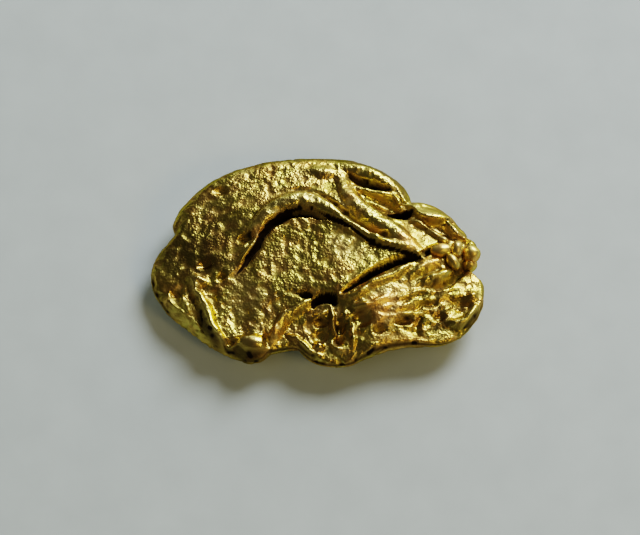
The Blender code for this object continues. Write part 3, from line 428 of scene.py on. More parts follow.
def stroke_height(stroke, x, y):
    """How high a ridge stands, or how deep a crease goes, at each place."""
    left_reach, right_reach, sharpness, rows = stroke
    line = smooth_line(rows)
    widest = line[:, 2].max() * max(left_reach, right_reach)
    height = np.zeros_like(x)
    low, high = line[:, :2].min(0) - widest, line[:, :2].max(0) + widest
    near = (x > low[0]) & (x < high[0]) & (y > low[1]) & (y < high[1])
    start, step = line[:-1], np.diff(line, axis=0)
    off_x = x[near][:, None] - start[:, 0]
    off_y = y[near][:, None] - start[:, 1]
    along = (off_x * step[:, 0] + off_y * step[:, 1]) / (step[:, 0] ** 2 + step[:, 1] ** 2)
    along = np.clip(along, 0, 1)
    apart = np.hypot(off_x - along * step[:, 0], off_y - along * step[:, 1])
    nearest = apart.argmin(1)
    pick = (np.arange(len(nearest)), nearest)
    side = step[nearest, 0] * off_y[pick] - step[nearest, 1] * off_x[pick]
    half_width = start[nearest, 2] + along[pick] * step[nearest, 2]
    crest = start[nearest, 3] + along[pick] * step[nearest, 3]
    reach = half_width * np.where(side > 0, left_reach, right_reach)
    height[near] = crest * dome(apart[pick] / reach, sharpness)
    return height


def lump_height(lump, x, y):
    """How high a lump stands, or how deep a pit goes, at each place."""
    middle_x, middle_y, half_length, half_width, turn, sharpness, crest = lump
    cos, sin = math.cos(math.radians(turn)), math.sin(math.radians(turn))
    along = (x - middle_x) * cos + (y - middle_y) * sin
    across = (y - middle_y) * cos - (x - middle_x) * sin
    return crest * dome(np.hypot(along / half_length, across / half_width), sharpness)


def relief(strokes, lumps, x, y):
    """The joined height of all these features, where the highest one rules."""
    total = np.zeros_like(x)
    for stroke in strokes.values():
        total += stroke_height(stroke, x, y) ** BLEND_POWER
    for lump in lumps.values():
        total += lump_height(lump, x, y) ** BLEND_POWER
    return total ** (1 / BLEND_POWER)


def under_height(x, y, share):
    """The underside: a flat belly that rises towards the edge, with its own creases."""
    rise = BELLY_RISE * limited((share - FLAT_REACH) / (1 - FLAT_REACH)) ** 2
    return rise - WORN_DEPTH + relief(UNDER_STROKES, UNDER_LUMPS, x, y)


middle_height = broad_height(np.zeros(1), np.zeros(1)) - under_height(*np.zeros((3, 1)))
print("thickness in the middle, without the folds:", round(float(middle_height[0]), 2), "mm")

# %% [markdown]
# ## A block becomes a nugget
# A sphere would pinch the grid at its poles. A cube has no poles, so a cube with a fine grid on
# its faces is moved onto the nugget: its top square becomes a disc, the disc is stretched to the
# outline, and its four walls become the rounded edge.

# %% Shape the block
BLOCK_SIDE = 2
GRID = (230, 165, 24)  # quads along X, along Y, and down the wall
WALL_LEAN = math.radians(62)  # how far round the edge's curve the walls reach, up and down


def gridded_block():
    """A cube whose faces carry the grid."""
    mesh = bmesh.new()
    bmesh.ops.create_cube(mesh, size=BLOCK_SIDE)
    for axis, cells in enumerate(GRID):
        edges = [
            edge for edge in mesh.edges
            if abs((edge.verts[0].co - edge.verts[1].co)[axis]) > BLOCK_SIDE / 2
        ]
        bmesh.ops.subdivide_edges(mesh, edges=edges, cuts=cells - 1, use_grid_fill=True)
    return mesh


def on_nugget(block):
    """Where each point of the block lies on the nugget, and what it lies on."""
    a, b, c = block.T
    disc_x, disc_y = a * np.sqrt(1 - b**2 / 2), b * np.sqrt(1 - a**2 / 2)
    share, angle = np.hypot(disc_x, disc_y), np.arctan2(disc_y, disc_x)
    radius, edge_z, rounding = edge_at(angle)
    rounding = np.where(c >= 0, rounding, UNDER_ROUNDING)
    reach = share * (radius - rounding * (1 - np.cos(c * WALL_LEAN)))
    x, y = reach * np.cos(angle), reach * np.sin(angle)
    inward = limited((radius - reach) / rounding)
    fullness = np.sqrt(1 - (1 - inward) ** 2)
    raised = relief(RAISED_STROKES, RAISED_LUMPS, x, y)
    sunk = relief(SUNK_STROKES, SUNK_LUMPS, x, y)
    top = c >= 0
    top_z, under_z = broad_height(x, y) + raised - sunk, under_height(x, y, reach / radius)
    face_z = np.where(top, top_z, under_z)
    place = np.column_stack([x, y, edge_z + fullness * (face_z - edge_z)])
    lies_on = {
        "raised": raised * top, "sunk": sunk * top, "top": top,
        "fullness": fullness, "inward": inward, "rounding": rounding,
    }
    return place, lies_on


shape = gridded_block()
place, lies_on = on_nugget(np.array([v.co for v in shape.verts]))
for vertex, where in zip(shape.verts, place):
    vertex.co = where
print("skin:", len(shape.verts), "points")

# %% [markdown]
# ## Rolling in the river
# A stroke with a crisp foot leaves a saw-tooth where it runs across the grid. Rolling wears such
# edges off the real metal too, so a few rounds of smoothing serve both. The steep flanks of the
# creases show the teeth most, and they get more rounds than the rest.

# %% Tumble
TUMBLING = 2  # rounds for all of the skin
FLANK_TUMBLING = 5  # more rounds for the flanks
FLANK_LEVEL = 0.62  # a flank's normal rises less than this
INSIDE_EDGE = 0.8  # fullness inside the rounded edge, which isn't a flank


def tumble(points, rounds):
    """Moves each point half way to its neighbours, as often as told."""
    every_axis = {"use_axis_x": True, "use_axis_y": True, "use_axis_z": True}
    for _ in range(rounds):
        bmesh.ops.smooth_vert(shape, verts=points, factor=0.5, **every_axis)
    shape.normal_update()


tumble(shape.verts, TUMBLING)
inside = lies_on["top"] & (lies_on["fullness"] > INSIDE_EDGE)
flanks = [v for v, is_inside in zip(shape.verts, inside) if is_inside and v.normal.z < FLANK_LEVEL]
tumble(flanks, FLANK_TUMBLING)
lean = np.array([v.normal for v in shape.verts])  # the way each point faces
print("flank points:", len(flanks))

# %% [markdown]
# ## Where the metal is rough
# The ridges and lips stand proud and are rubbed smooth. The plates between them keep the grain of
# the gravel. Roughness is painted with the same ovals as the lumps: each one takes away a share of
# the grain. The nearest and the farthest edge are rubbed as well, each by a share of its own.

# %% Smooth places
# name: (x, y, half length, half width, turn in degrees, sharpness, share of the grain taken away)
SMOOTH_PLACES = {
    "cheek": (-4.70, -0.50, 0.62, 0.42, 10, 1.0, 0.95),
    "tip_lobe": (5.05, 1.60, 1.45, 0.95, -38, 0.8, 0.60),
    "bead_bed": (5.75, -0.10, 1.25, 0.85, 0, 0.5, 0.6),
    "far_hollow": (2.50, 2.45, 0.95, 0.55, -20, 0.9, 0.70),
    "middle_hollow": (1.86, -3.04, 0.60, 0.55, 0, 0.9, 0.80),
    "near_basin": (0.10, -3.95, 0.70, 0.60, 0, 0.9, 0.60),
    "near_bump": (-2.72, -4.05, 0.80, 0.60, -8, 0.8, 0.9),
}
RIDGE_FULL = 0.40  # mm of relief at which a ridge is fully rubbed
# Share of the grain that each of these loses.
RIDGE_POLISH, NEAR_POLISH, FAR_POLISH = 0.18, 0.25, 0.75
NEAR_EDGE = 4  # how fast the near wall starts at the edge of the top
FAR_BAND = 0.30  # mm of smooth metal along the far edge
NEAR_SIDE = (0, -2)  # x, y: a longer arrow takes in more of the points that face this way


def facing(arrow):
    """How much each point faces along this arrow, seen from above."""
    return limited(arrow[0] * lean[:, 0] + arrow[1] * lean[:, 1])


rubbed = limited(lies_on["raised"] / RIDGE_FULL)
rough = np.ones(len(place))
for spot in SMOOTH_PLACES.values():
    rough *= 1 - lump_height(spot, place[:, 0], place[:, 1]) * lies_on["top"]
rough *= 1 - RIDGE_POLISH * rubbed
near_wall = limited((1 - lies_on["fullness"]) * NEAR_EDGE)
rough *= 1 - NEAR_POLISH * near_wall * facing(NEAR_SIDE)
from_edge = limited(lies_on["inward"] * lies_on["rounding"] / FAR_BAND)
rough *= 1 - FAR_POLISH * limited(place[:, 1]) * (1 - from_edge)
print("rough share of the skin:", round(float(rough.mean()), 2))

# %% [markdown]
# ## Grain
# Native gold grows against quartz and sand, and keeps their print: pebbly bumps a few tenths of a
# millimetre across, with pits between them. Cell noise gives the bumps and soft noise the pits.
# Where stones hammered the metal it is crumpled into short folds. Soft noise passes through zero
# along thin lines, and its absolute value, taken off the height, leaves a sharp crest on each of
# them. All of these really move the points, so the grain also shows on the outline.

# %% Raise the grain
# Each of these is a size and a height, in mm.
BROAD_WAVES = (0.9, 0.022)
SMALL_WAVES = (0.42, 0.024)
BUMPS = ((0.24, 0.013), (0.16, 0.014))
CRUMPLES = (0.33, 0.080)
CREST, SLOPE = 0.5, 2  # top of a crumple, and how fast it falls off with the noise
CRUMPLE_STRETCH = Vector((0.65, 1.3, 1.0))  # makes the folds longer than wide
CRUMPLE_TURN = Matrix.Rotation(math.radians(-22), 3, "Z")
PITS = (0.30, 0.10, 0.12)  # size, how far the noise has to rise, and depth
PIT_SHIFT = Vector((9, 4, 7))  # takes the noise of the pits from another place
WAVES_ON_SMOOTH = 0.3  # share of the small waves that smooth places keep
# name: (x, y, half length, half width, turn in degrees, sharpness, share of the crumples)
CRUMPLED_PLACES = {
    "near_lobe": (4.60, -2.30, 2.40, 1.45, 10, 0.5, 1.0),
    "web": (1.15, -3.30, 0.75, 0.95, 0, 0.8, 0.7),
    "left_corner": (-5.60, -1.60, 1.00, 1.20, 20, 0.8, 0.6),
    "tip": (4.60, 0.90, 1.30, 0.80, -35, 0.8, 0.6),
    "brow": (-0.60, 1.95, 2.30, 0.80, 5, 0.8, 0.45),
    "second_ridge": (2.30, 1.60, 1.60, 0.80, -38, 0.8, 0.45),
    "left_wall": (-5.10, -3.20, 1.50, 0.45, -38, 0.6, 0.7),
}


def painted(spots):
    """What these ovals paint on the top of the skin."""
    share = np.zeros(len(place))
    for spot in spots.values():
        share = np.maximum(share, lump_height(spot, place[:, 0], place[:, 1]) * lies_on["top"])
    return share


def grain(where, share, crumpled):
    """Height of the grain at a place, and how deep in a pit it lies."""
    height = BROAD_WAVES[1] * noise.noise(where / BROAD_WAVES[0])
    fold = abs(noise.noise(CRUMPLE_TURN @ where * CRUMPLE_STRETCH / CRUMPLES[0]))
    height += crumpled * CRUMPLES[1] * (CREST - SLOPE * fold)
    waves = WAVES_ON_SMOOTH + (1 - WAVES_ON_SMOOTH) * share
    height += waves * SMALL_WAVES[1] * noise.noise(where / SMALL_WAVES[0])
    for size, tall in BUMPS:
        nearest = noise.voronoi(where / size)[0][0]
        height += share * tall * (1 - 2 * nearest * nearest)
    size, start, depth = PITS
    pit = max(0.0, noise.noise(where / size + PIT_SHIFT) - start) * share
    return height - depth * pit, pit


def apply_grain():
    """Moves every point along its normal, turns millimetres into metres, and returns the pits."""
    heights, pits = [], []
    for vertex, share, crumpled in zip(shape.verts, rough, painted(CRUMPLED_PLACES)):
        height, pit = grain(vertex.co, float(share), float(crumpled))
        heights.append(height)
        pits.append(pit)
    for vertex, height in zip(shape.verts, heights):
        vertex.co += vertex.normal * height
        vertex.co.z = max(vertex.co.z, 0.0)
        vertex.co *= METRES
    return np.array(pits)


pits = apply_grain()
print("deepest pit share:", round(float(pits.max()), 2))

# %% [markdown]
# ## Beads of gold
# At the narrow end the metal is squeezed into beads, with dark seams between them. The grid is too
# coarse for forms so small and so round, so each bead is a ball, pressed out of round and sunk
# into the skin. The balls belong to the same mesh, because the real beads are one with the lump.

# %% Beads
BEAD_FINENESS = 4
BEAD_WAVES = (0.30, 0.030)  # size and height, mm
# name: middle in mm, half sizes in mm, turn in degrees
BEADS = {
    "long_bead": ((5.20, 0.06, 2.06), (0.49, 0.30, 0.34), 10),
    "round_bead": ((5.87, 0.15, 2.00), (0.27, 0.35, 0.36), -10),
    "slanted_bead": ((5.68, -0.44, 1.98), (0.40, 0.24, 0.36), -55),
    "end_bead": ((6.48, 0.08, 1.66), (0.40, 0.38, 0.44), 0),
    "low_bead": ((6.42, -0.30, 1.36), (0.33, 0.28, 0.40), 20),
    "small_bead": ((5.30, 0.58, 1.92), (0.24, 0.15, 0.26), -15),
}


def press_bead(middle, half_sizes, turn):
    """Adds one ball to the skin, in metres."""
    ball = bmesh.ops.create_icosphere(shape, subdivisions=BEAD_FINENESS, radius=1)["verts"]
    spin = Matrix.Rotation(math.radians(turn), 4, "Z")
    placing = Matrix.Translation(middle) @ spin @ Matrix.Diagonal((*half_sizes, 1))
    for vertex in ball:
        outward = vertex.co.normalized()
        vertex.co = placing @ vertex.co
        vertex.co += outward * BEAD_WAVES[1] * noise.noise(vertex.co / BEAD_WAVES[0])
        vertex.co *= METRES


for bead in BEADS.values():
    press_bead(*bead)
print("beads:", len(BEADS))

# %% [markdown]
# ## Grime and painted shade in the creases
# Nobody can polish the bottom of a slit, so old dirt stays there, and painted shade darkens it
# further: in the named creases, in the seams beside the beads, and under the rims on the near side.
# The seams and the rims get painted shade only. How dark each point is gets worked out here, from
# the strokes, because a noise texture wouldn't know where the creases are.

# %% Gather the grime and painted shade
HOLLOW_FULL = 0.55  # mm of depth at which any hollow has all of its grime and painted shade
HOLLOW_GRIME_AND_SHADE = 0.4
# How much grime and painted shade each of these creases holds.
GRIME_AND_SHADE_CREASES = {
    "brow_crevice": 1.0, "far_slot": 0.8, "far_hole": 1.0, "slit": 1.0, "arch_hole": 1.0,
    "hole_dash": 0.9, "bead_crack": 0.9, "lobe_groove": 0.5, "ridge_valley": 0.45,
    "bar_groove": 0.5, "rim_foot": 0.6,
}
CREASE_EDGE = 6  # how fast the grime and painted shade of a crease start at its side
# Painted shade under a rim, as strokes of x, y, half width and share.
UNDERCUT_SHADE_STROKES = {
    "rim_front": (1.0, 1.0, 0.6, [
        (-5.05, -2.00, 0.12, 0.5), (-4.85, -2.60, 0.18, 0.9), (-4.65, -3.20, 0.18, 1.0),
        (-4.25, -3.75, 0.18, 1.0), (-3.90, -4.05, 0.12, 0.6)]),
    "bump_front": (1.0, 1.0, 0.6, [
        (-3.45, -4.22, 0.12, 0.5), (-3.00, -4.50, 0.26, 1.0),
        (-2.45, -4.52, 0.26, 1.0), (-2.05, -4.28, 0.12, 0.5)]),
}
# Painted shade under the near rims.
UNDERCUT_SHADE = 0.8
LIP_FULL = 0.2  # mm
LIP_SPARED = 0.85  # share of the grime and painted shade that is taken off the lip in the crevice
SEAM_REACH = 1.35  # how far the painted shade of the seam reaches, in half sizes of its bead


def crease_share(x, y):
    """1 in the middle of a crease darkened with grime and painted shade, 0 outside every one of
    them.
    """
    share = np.zeros_like(x)
    for name, amount in GRIME_AND_SHADE_CREASES.items():
        depth = stroke_height(SUNK_STROKES[name], x, y)
        deepest = max(row[3] for row in SUNK_STROKES[name][3])
        share = np.maximum(share, amount * limited(CREASE_EDGE * depth / deepest))
    for stroke in UNDERCUT_SHADE_STROKES.values():
        share = np.maximum(share, UNDERCUT_SHADE * stroke_height(stroke, x, y))
    return share


def seam_share(x, y):
    """Painted shade in the seam beside each bead: 1 beside a bead, 0 away from all of them."""
    share = np.zeros_like(x)
    for middle, half_sizes, turn in BEADS.values():
        oval = (*middle[:2], SEAM_REACH * half_sizes[0], SEAM_REACH * half_sizes[1], turn, 0.5, 1.0)
        share = np.maximum(share, lump_height(oval, x, y))
    return share


x, y = place[:, 0], place[:, 1]
lip = limited(stroke_height(RAISED_STROKES["crevice_lip"], x, y) / LIP_FULL)
# Crease darkening: old dirt together with painted shade; under the near rims it is painted shade
# only.
creased = crease_share(x, y) * lies_on["top"] * (1 - LIP_SPARED * lip)
# Painted shade in the seams beside the beads.
seams = seam_share(x, y) * lies_on["top"]
# Grime and painted shade grow with the depth of every hollow.
hollow = HOLLOW_GRIME_AND_SHADE * limited(lies_on["sunk"] / HOLLOW_FULL)
print("creased share of the skin:", round(float(creased.mean()), 3))

# %% [markdown]
# ## Painted shade on the edge
# The rounded edge is darkened with painted shade. Its near side and the steep flanks that face away
# from the window lamp get the most, and its far side is painted a darker metal. Both are told from
# the way each point faces. One stretch of the wall at the left loses its painted shade and is
# painted lighter.

# %% Edge
WALL_EDGE = 12  # how fast the wall starts at the edge of the top
WALL_STEEPNESS, WALL_SPREAD = 0.40, 0.32  # rise of the normal in the band of painted shade
FAR_STEEPNESS, FAR_SPREAD = 0.62, 0.34  # the same for the band of painted shade on the far side
WALL_SHADE, NEAR_SHADE, FLANK_SHADE = 0.45, 0.35, 0.6
LIT_WALL_SPARED = 0.85  # share of the painted shade taken off the lit stretch of wall
LIT_WALL = {"left_wall": (-5.12, -3.05, 1.80, 0.42, -46, 0.5, 1.0)}
SHELTERED_SIDE, FAR_SIDE = (-1.0, -1.3), (1.2, 1.6)  # arrows, as for the near side
TIP_START, TIP_FADE = 3.6, 0.5  # mm: the far side's painted shade ends where the tip starts


def band(values, middle, spread):
    """1 at the middle value, falling to 0 a spread away from it."""
    return limited(1 - ((values - middle) / spread) ** 2)


on_wall = limited((1 - lies_on["fullness"]) * WALL_EDGE)
steep = band(lean[:, 2], WALL_STEEPNESS, WALL_SPREAD)
sheltered = facing(SHELTERED_SIDE) * lies_on["top"]
# Painted shade: the near wall, and steep flanks facing away from the window lamp, are darkened by
# the way they face.
wall_shade = on_wall * steep * (WALL_SHADE + NEAR_SHADE * facing(NEAR_SIDE))
wall_shade = np.maximum(wall_shade, steep * sheltered * FLANK_SHADE)
# Painted light: one stretch of the left wall loses its painted shade and is painted lighter.
lit_wall = painted(LIT_WALL)
wall_shade *= 1 - LIT_WALL_SPARED * lit_wall
off_tip = 1 - limited((x - TIP_START) / TIP_FADE)
# Painted shade: the far side of the wall is painted a darker metal, told from the way it faces.
far_wall_shade = on_wall * band(lean[:, 2], FAR_STEEPNESS, FAR_SPREAD) * facing(FAR_SIDE) * off_tip
print("shaded share of the skin:", round(float(wall_shade.mean()), 3))

# %% [markdown]
# ## Painted light, painted shade and painted warm reflection
# Native gold holds silver and copper, never evenly, so it is greenish here and peach there; the
# material makes those patches with noise. The ovals here make some places lighter as painted light,
# others darker, with painted shade on the left plate among them, and some peach as a painted warm
# reflection. They are ovals laid one by one, and the material breaks up their borders with noise.

# %% Patches
# name: (x, y, half length, half width, turn in degrees, sharpness, share)
# Painted light: these ovals make the gold lighter and paler where it looks lit.
PAINTED_LIGHT_PLACES = {
    "left_basin": (-3.00, -1.90, 0.95, 1.10, 0, 0.8, 0.9),
    "bowl_side": (1.25, 0.35, 1.10, 0.80, -30, 0.8, 0.9),
    "panel": (2.60, -2.20, 1.10, 0.70, 25, 0.8, 1.0),
    "near_panel": (2.75, -3.05, 0.80, 0.55, 20, 0.8, 1.0),
    "near_bump": (-2.72, -4.05, 0.70, 0.50, -8, 0.8, 1.0),
    "tip_top": (4.50, 2.20, 0.90, 0.40, -20, 0.8, 1.0),
    "brow_start": (-2.64, 0.70, 0.70, 0.60, 0, 0.8, 0.8),
    "far_left": (-4.30, 2.50, 1.00, 0.60, 30, 0.8, 0.5),
    "brow_back": (1.40, 1.90, 0.90, 0.50, -40, 0.8, 0.8),
}
# These ovals darken the gold; on the left plate the darkening is painted shade.
DARKENED_PLACES = {
    "left_plate": (-5.20, 0.35, 1.90, 1.45, 20, 0.8, 1.0),
    "left_middle": (-4.20, -0.20, 0.90, 0.80, 0, 0.8, 0.7),
    "hole_side": (0.95, -3.10, 0.80, 0.75, 0, 0.8, 0.9),
    "arch_side": (-0.85, -1.90, 0.90, 0.60, 0, 0.8, 0.45),
    "bar_foot": (4.45, -1.95, 0.80, 0.60, 0, 0.8, 0.35),
    "tip_foot": (4.40, 0.80, 0.70, 0.50, -35, 0.8, 0.35),
    "lobe_corner": (5.00, -2.80, 1.20, 0.80, 0, 0.8, 0.6),
    "far_shoulder": (0.10, 3.40, 1.40, 0.70, 0, 0.8, 0.35),
}
# Painted warm reflection: these ovals turn the gold peach.
WARM_REFLECTION_PLACES = {
    "brow_foot": (3.80, 0.30, 0.80, 0.45, -25, 0.8, 0.9),
    "brow_flank": (2.45, 0.78, 0.60, 0.30, -30, 0.8, 0.7),
    "brow_start": (-2.45, 0.70, 0.55, 0.40, 60, 0.8, 0.8),
    "bead_foot": (4.75, -0.50, 0.80, 0.50, 25, 0.8, 0.8),
    "panel_corner": (2.85, -2.60, 1.10, 0.80, 30, 0.7, 1.0),
    "bar_side": (3.60, -1.80, 0.90, 0.50, 25, 0.8, 0.7),
    "near_edge": (3.50, -3.90, 1.60, 0.40, 0, 0.8, 0.8),
    "fold_back": (-1.90, -3.40, 0.45, 0.80, 30, 0.8, 0.8),
    "far_ridge": (1.35, 2.70, 0.50, 0.70, 20, 0.8, 0.6),
    "tip": (4.60, 1.20, 0.80, 0.50, -30, 0.8, 0.5),
}
painted_light, darkened, peach = (
    painted(places) for places in (PAINTED_LIGHT_PLACES, DARKENED_PLACES, WARM_REFLECTION_PLACES)
)
WARM_REFLECTION_SATIN, LIT_WALL_SATIN, PAINTED_LIGHT_SATIN = 0.5, 0.8, 0.4  # how much each of these blurs reflections
satin = np.maximum.reduce([WARM_REFLECTION_SATIN * peach, LIT_WALL_SATIN * lit_wall, PAINTED_LIGHT_SATIN * painted_light])
print("patches:", len(PAINTED_LIGHT_PLACES) + len(DARKENED_PLACES) + len(WARM_REFLECTION_PLACES))

# %% [markdown]
# ## The piece
# The finished skin stands for the CAD node and rides on the one body. Seven numbers are kept with
# each point, for the material to read: the places worked out above. On the beads each number is
# the same all over: they are worn and painted light, a little satin on every side, and get some
# painted warm reflection.

# %% Make the piece
PIT_SHADE = 3  # makes the shallow pits dark enough
# Painted warm reflection on the beads.
BEAD_WARM_REFLECTION = 0.4


def keep_number(mesh, name, values, beads=0.0):
    """Keeps a number with each point: the skin's own values, then one value for all beads."""
    layer = mesh.attributes.new(name, "FLOAT", "POINT")
    filled = np.full(len(mesh.vertices), beads, np.float32)
    filled[:len(values)] = values
    layer.data.foreach_set("value", filled)


mesh = bpy.data.meshes.new("nugget_skin")
shape.to_mesh(mesh)
shape.free()
mesh.shade_smooth()
keep_number(mesh, "rough", rough)
keep_number(mesh, "hollow", np.maximum.reduce([hollow, creased, wall_shade, seams]))
# Darkening: the darkened ovals, and the painted shade of the far wall.
keep_number(mesh, "darkening", np.maximum(darkened, far_wall_shade))
# Painted warm reflection, and a little of it on the beads.
keep_number(mesh, "peach", peach, beads=BEAD_WARM_REFLECTION)
keep_number(mesh, "pit", limited(pits * PIT_SHADE))
# Worn ridges together with painted light, on the ovals, the left wall and the beads.
keep_number(mesh, "rubbed", np.maximum.reduce([rubbed, painted_light, lit_wall]), beads=1.0)
keep_number(mesh, "satin", satin, beads=1.0)
nugget = bpy.data.objects.new("nugget_skin", mesh)
bpy.context.scene.collection.objects.link(nugget)
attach(nugget, "root")
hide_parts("nugget")
print("triangles:", sum(len(face.vertices) - 2 for face in mesh.polygons))

# %% [markdown]
# ## A small language for shaders
# A material is a graph of nodes, and sums in it are hard to read as nodes. The class Value wraps a
# socket, so that 1 - mask or depth * 0.5 in Python adds the Math node that does it. The class
# Graph adds every other node through one method, and names the few kinds that come back often.

# %% Numbers that vary
class Value:
    """A number that varies over the surface."""

    def __init__(self, graph, socket):
        self.graph = graph
        self.socket = socket

    def _math(self, operation, first, second=0.0, clamp=False):
        settings = {"operation": operation, "use_clamp": clamp}
        node = self.graph.node("ShaderNodeMath", settings, {0: first, 1: second})
        return Value(self.graph, node.outputs[0])

    def __add__(self, other):
        return self._math("ADD", self, other)

    def __radd__(self, other):
        return self._math("ADD", other, self)

    def __sub__(self, other):
        return self._math("SUBTRACT", self, other)

    def __rsub__(self, other):
        return self._math("SUBTRACT", other, self)

    def __mul__(self, other):
        return self._math("MULTIPLY", self, other)

    def __rmul__(self, other):
        return self._math("MULTIPLY", other, self)

    def __pow__(self, other):
        return self._math("POWER", self, other)

    def __rpow__(self, other):
        return self._math("POWER", other, self)

    def limited(self):
        """The same number, kept from 0 to 1."""
        return self._math("ADD", self, 0.0, clamp=True)


print("reflected:", [name for name in vars(Value) if name.startswith("__r")])

# %% [markdown]
# ## The graph of a material
# Numbers kept with the points come in through an Attribute node. Noise comes in metres of the
# object itself, so a blob of 1 mm stays 1 mm on every side of the piece and needs no unwrapping.

# %% Graph
MM = 0.001


class Graph:
    """The nodes of one material."""

    def __init__(self, name):
        self.material = bpy.data.materials.new(name)
        self.material.use_nodes = True
        self.tree = self.material.node_tree
        self.shader = self.tree.nodes["Principled BSDF"]

    def node(self, kind, settings=None, inputs=None):
        """Adds a node: its settings first, then what goes into its sockets."""
        made = self.tree.nodes.new(kind)
        for name, setting in (settings or {}).items():
            setattr(made, name, setting)
        for name, given in (inputs or {}).items():
            self.feed(made.inputs[name], given)
        return made

    def feed(self, socket, given):
        """Links a value or a socket to this socket, or sets it to a constant."""
        if isinstance(given, Value):
            given = given.socket
        if isinstance(given, bpy.types.NodeSocket):
            self.tree.links.new(given, socket)
        else:
            socket.default_value = given

    def number(self, name):
        """A number kept with the points of the mesh."""
        node = self.node("ShaderNodeAttribute", {"attribute_name": name})
        return Value(self, node.outputs["Fac"])

    def mix(self, share, first, second):
        """A colour between two colours."""
        given = {0: share, 6: first, 7: second}  # the sockets of a Mix node that mixes colours
        return self.node("ShaderNodeMix", {"data_type": "RGBA"}, given).outputs[2]

    def scattered(self, kind, size, output, inputs):
        """A noise texture in the object's own space, whose blobs have this size in metres."""
        place = self.node("ShaderNodeTexCoord").outputs["Object"]
        node = self.node(kind, inputs={"Vector": place, "Scale": 1 / size, **inputs})
        return Value(self, node.outputs[output])

    def speckle(self, size, detail=2.0):
        """Soft noise from 0 to 1."""
        return self.scattered("ShaderNodeTexNoise", size, "Fac", {"Detail": detail})

    def cells(self, size):
        """Distance to the nearest of many scattered points, about this far apart."""
        return self.scattered("ShaderNodeTexVoronoi", size, "Distance", {})


print("a graph can:", [name for name in vars(Graph) if not name.startswith("_")])

# %% [markdown]
# ## Native gold
# Gold is a metal, so nearly all of its colour is in its reflections. Rubbed places and places of
# painted light are bright and a little paler. Darkened places are a darker metal, painted shade on
# the left plate and the far wall, while grime and painted shade in a crease hide the metal. Light
# that grazes the surface would come back white and strong, and a dim tint holds that rim down. The
# finest grain is too small for the mesh, and a bump makes it.

# %% Colours of gold
BRIGHT_GOLD = (0.93, 0.74, 0.29, 1.0)
GREEN_GOLD = (0.84, 0.76, 0.21, 1.0)
PEACH_GOLD = (1.00, 0.61, 0.20, 1.0)
DEEP_GOLD = (0.68, 0.42, 0.11, 1.0)
DEEP_GREEN = (0.54, 0.46, 0.09, 1.0)
# Darker metal for the darkened ovals and for the painted shade of the far wall.
DARKENING_COLOR = (0.20, 0.15, 0.045, 1.0)
CLOUD_SIZE = 1.1 * MM  # blobs of brighter and deeper gold
# What brings out the bright gold, and how much of it the deep gold takes back.
CLOUD_TONE, WEAR_AND_LIGHT_TONE, WARM_REFLECTION_TONE, DEEP_TONE = 0.7, 0.5, 0.3, 0.15
# Patches: size of the blobs in metres, detail, contrast, and what is taken off the noise.
GREEN_PATCHES = (1.7 * MM, 2.0, 3.0, 1.0)
PEACH_PATCHES = (0.6 * MM, 1.5, 4.0, 2.3)
DEEP_PATCHES = (0.6 * MM, 2.0, 4.0, 1.5)
WARM_REFLECTION_PULL = 1.6  # how much the painted warm reflection brings out the peach gold
DARKENING_SHARE = 0.6


def patches(graph, blobs):
    """Noise that rises above 1 inside its patches and falls below 0 outside them."""
    size, detail, contrast, taken_off = blobs
    return graph.speckle(size, detail) * contrast - taken_off


def gold_color(graph):
    """The metal under the grime: bright where it is rubbed and where light is painted, deep
    elsewhere, in patches, darker where it is darkened, peach where a warm reflection is painted.
    """
    peach = graph.number("peach")
    tone = graph.speckle(CLOUD_SIZE, 3.0) * CLOUD_TONE + graph.number("rubbed") * WEAR_AND_LIGHT_TONE
    tone = (tone + peach * WARM_REFLECTION_TONE - DEEP_TONE).limited()
    green = patches(graph, GREEN_PATCHES).limited()
    warm = (patches(graph, PEACH_PATCHES) + peach * WARM_REFLECTION_PULL).limited()
    light = graph.mix(warm, graph.mix(green, GREEN_GOLD, BRIGHT_GOLD), PEACH_GOLD)
    deep = graph.mix(patches(graph, DEEP_PATCHES).limited(), DEEP_GOLD, DEEP_GREEN)
    darkening = graph.number("darkening") * DARKENING_SHARE
    return graph.mix(darkening, graph.mix(tone, deep, light), DARKENING_COLOR)


print("deep gold reflects", round(sum(DEEP_GOLD[:3]) / sum(BRIGHT_GOLD[:3]), 2), "of bright gold")

# %% [markdown]
# ## Grime, painted shade and fine grain
# Grime and painted shade fill the hollows first, then the pits, and last grime specks the rough
# plates. The fine grain is the print of sand, made of pebbles a tenth of a millimetre across.
# Rubbed metal has lost most of it.

# %% Grime, painted shade and fine grain
FINE_SIZE = 0.09 * MM
PEBBLE_SIZE = 0.10 * MM
PEBBLE_SHARE, FINE_SHARE = 0.7, 0.5  # of the height of the fine grain
LEAST_GRAIN = 0.15  # share of it that rubbed metal keeps
BUMP_HEIGHT = 0.024 * MM
HOLLOW_CURVE, HOLLOW_STRENGTH = 1.3, 1.2
PIT_STAIN_AND_SHADE, SPECK_STAIN = 0.45, 0.3
GRIME_AND_SHADE_START = 0.08


def grime_and_shade_share(graph, rough_share, fine):
    """Where grime and painted shade hide the metal, from 0 to 1."""
    stain = graph.number("pit") * PIT_STAIN_AND_SHADE + (fine - 0.5) * rough_share * SPECK_STAIN
    hollow = graph.number("hollow") ** HOLLOW_CURVE * HOLLOW_STRENGTH
    return (hollow + stain - GRIME_AND_SHADE_START).limited()


def fine_grain(graph, rough_share, fine):
    """A bump for the grain that is too fine for the mesh."""
    pebbles = 1 - graph.cells(PEBBLE_SIZE)
    height = pebbles * PEBBLE_SHARE + fine * FINE_SHARE
    height = height * (rough_share * (1 - LEAST_GRAIN) + LEAST_GRAIN)
    bump = {"Height": height, "Strength": 1.0, "Distance": BUMP_HEIGHT}
    return graph.node("ShaderNodeBump", inputs=bump).outputs["Normal"]


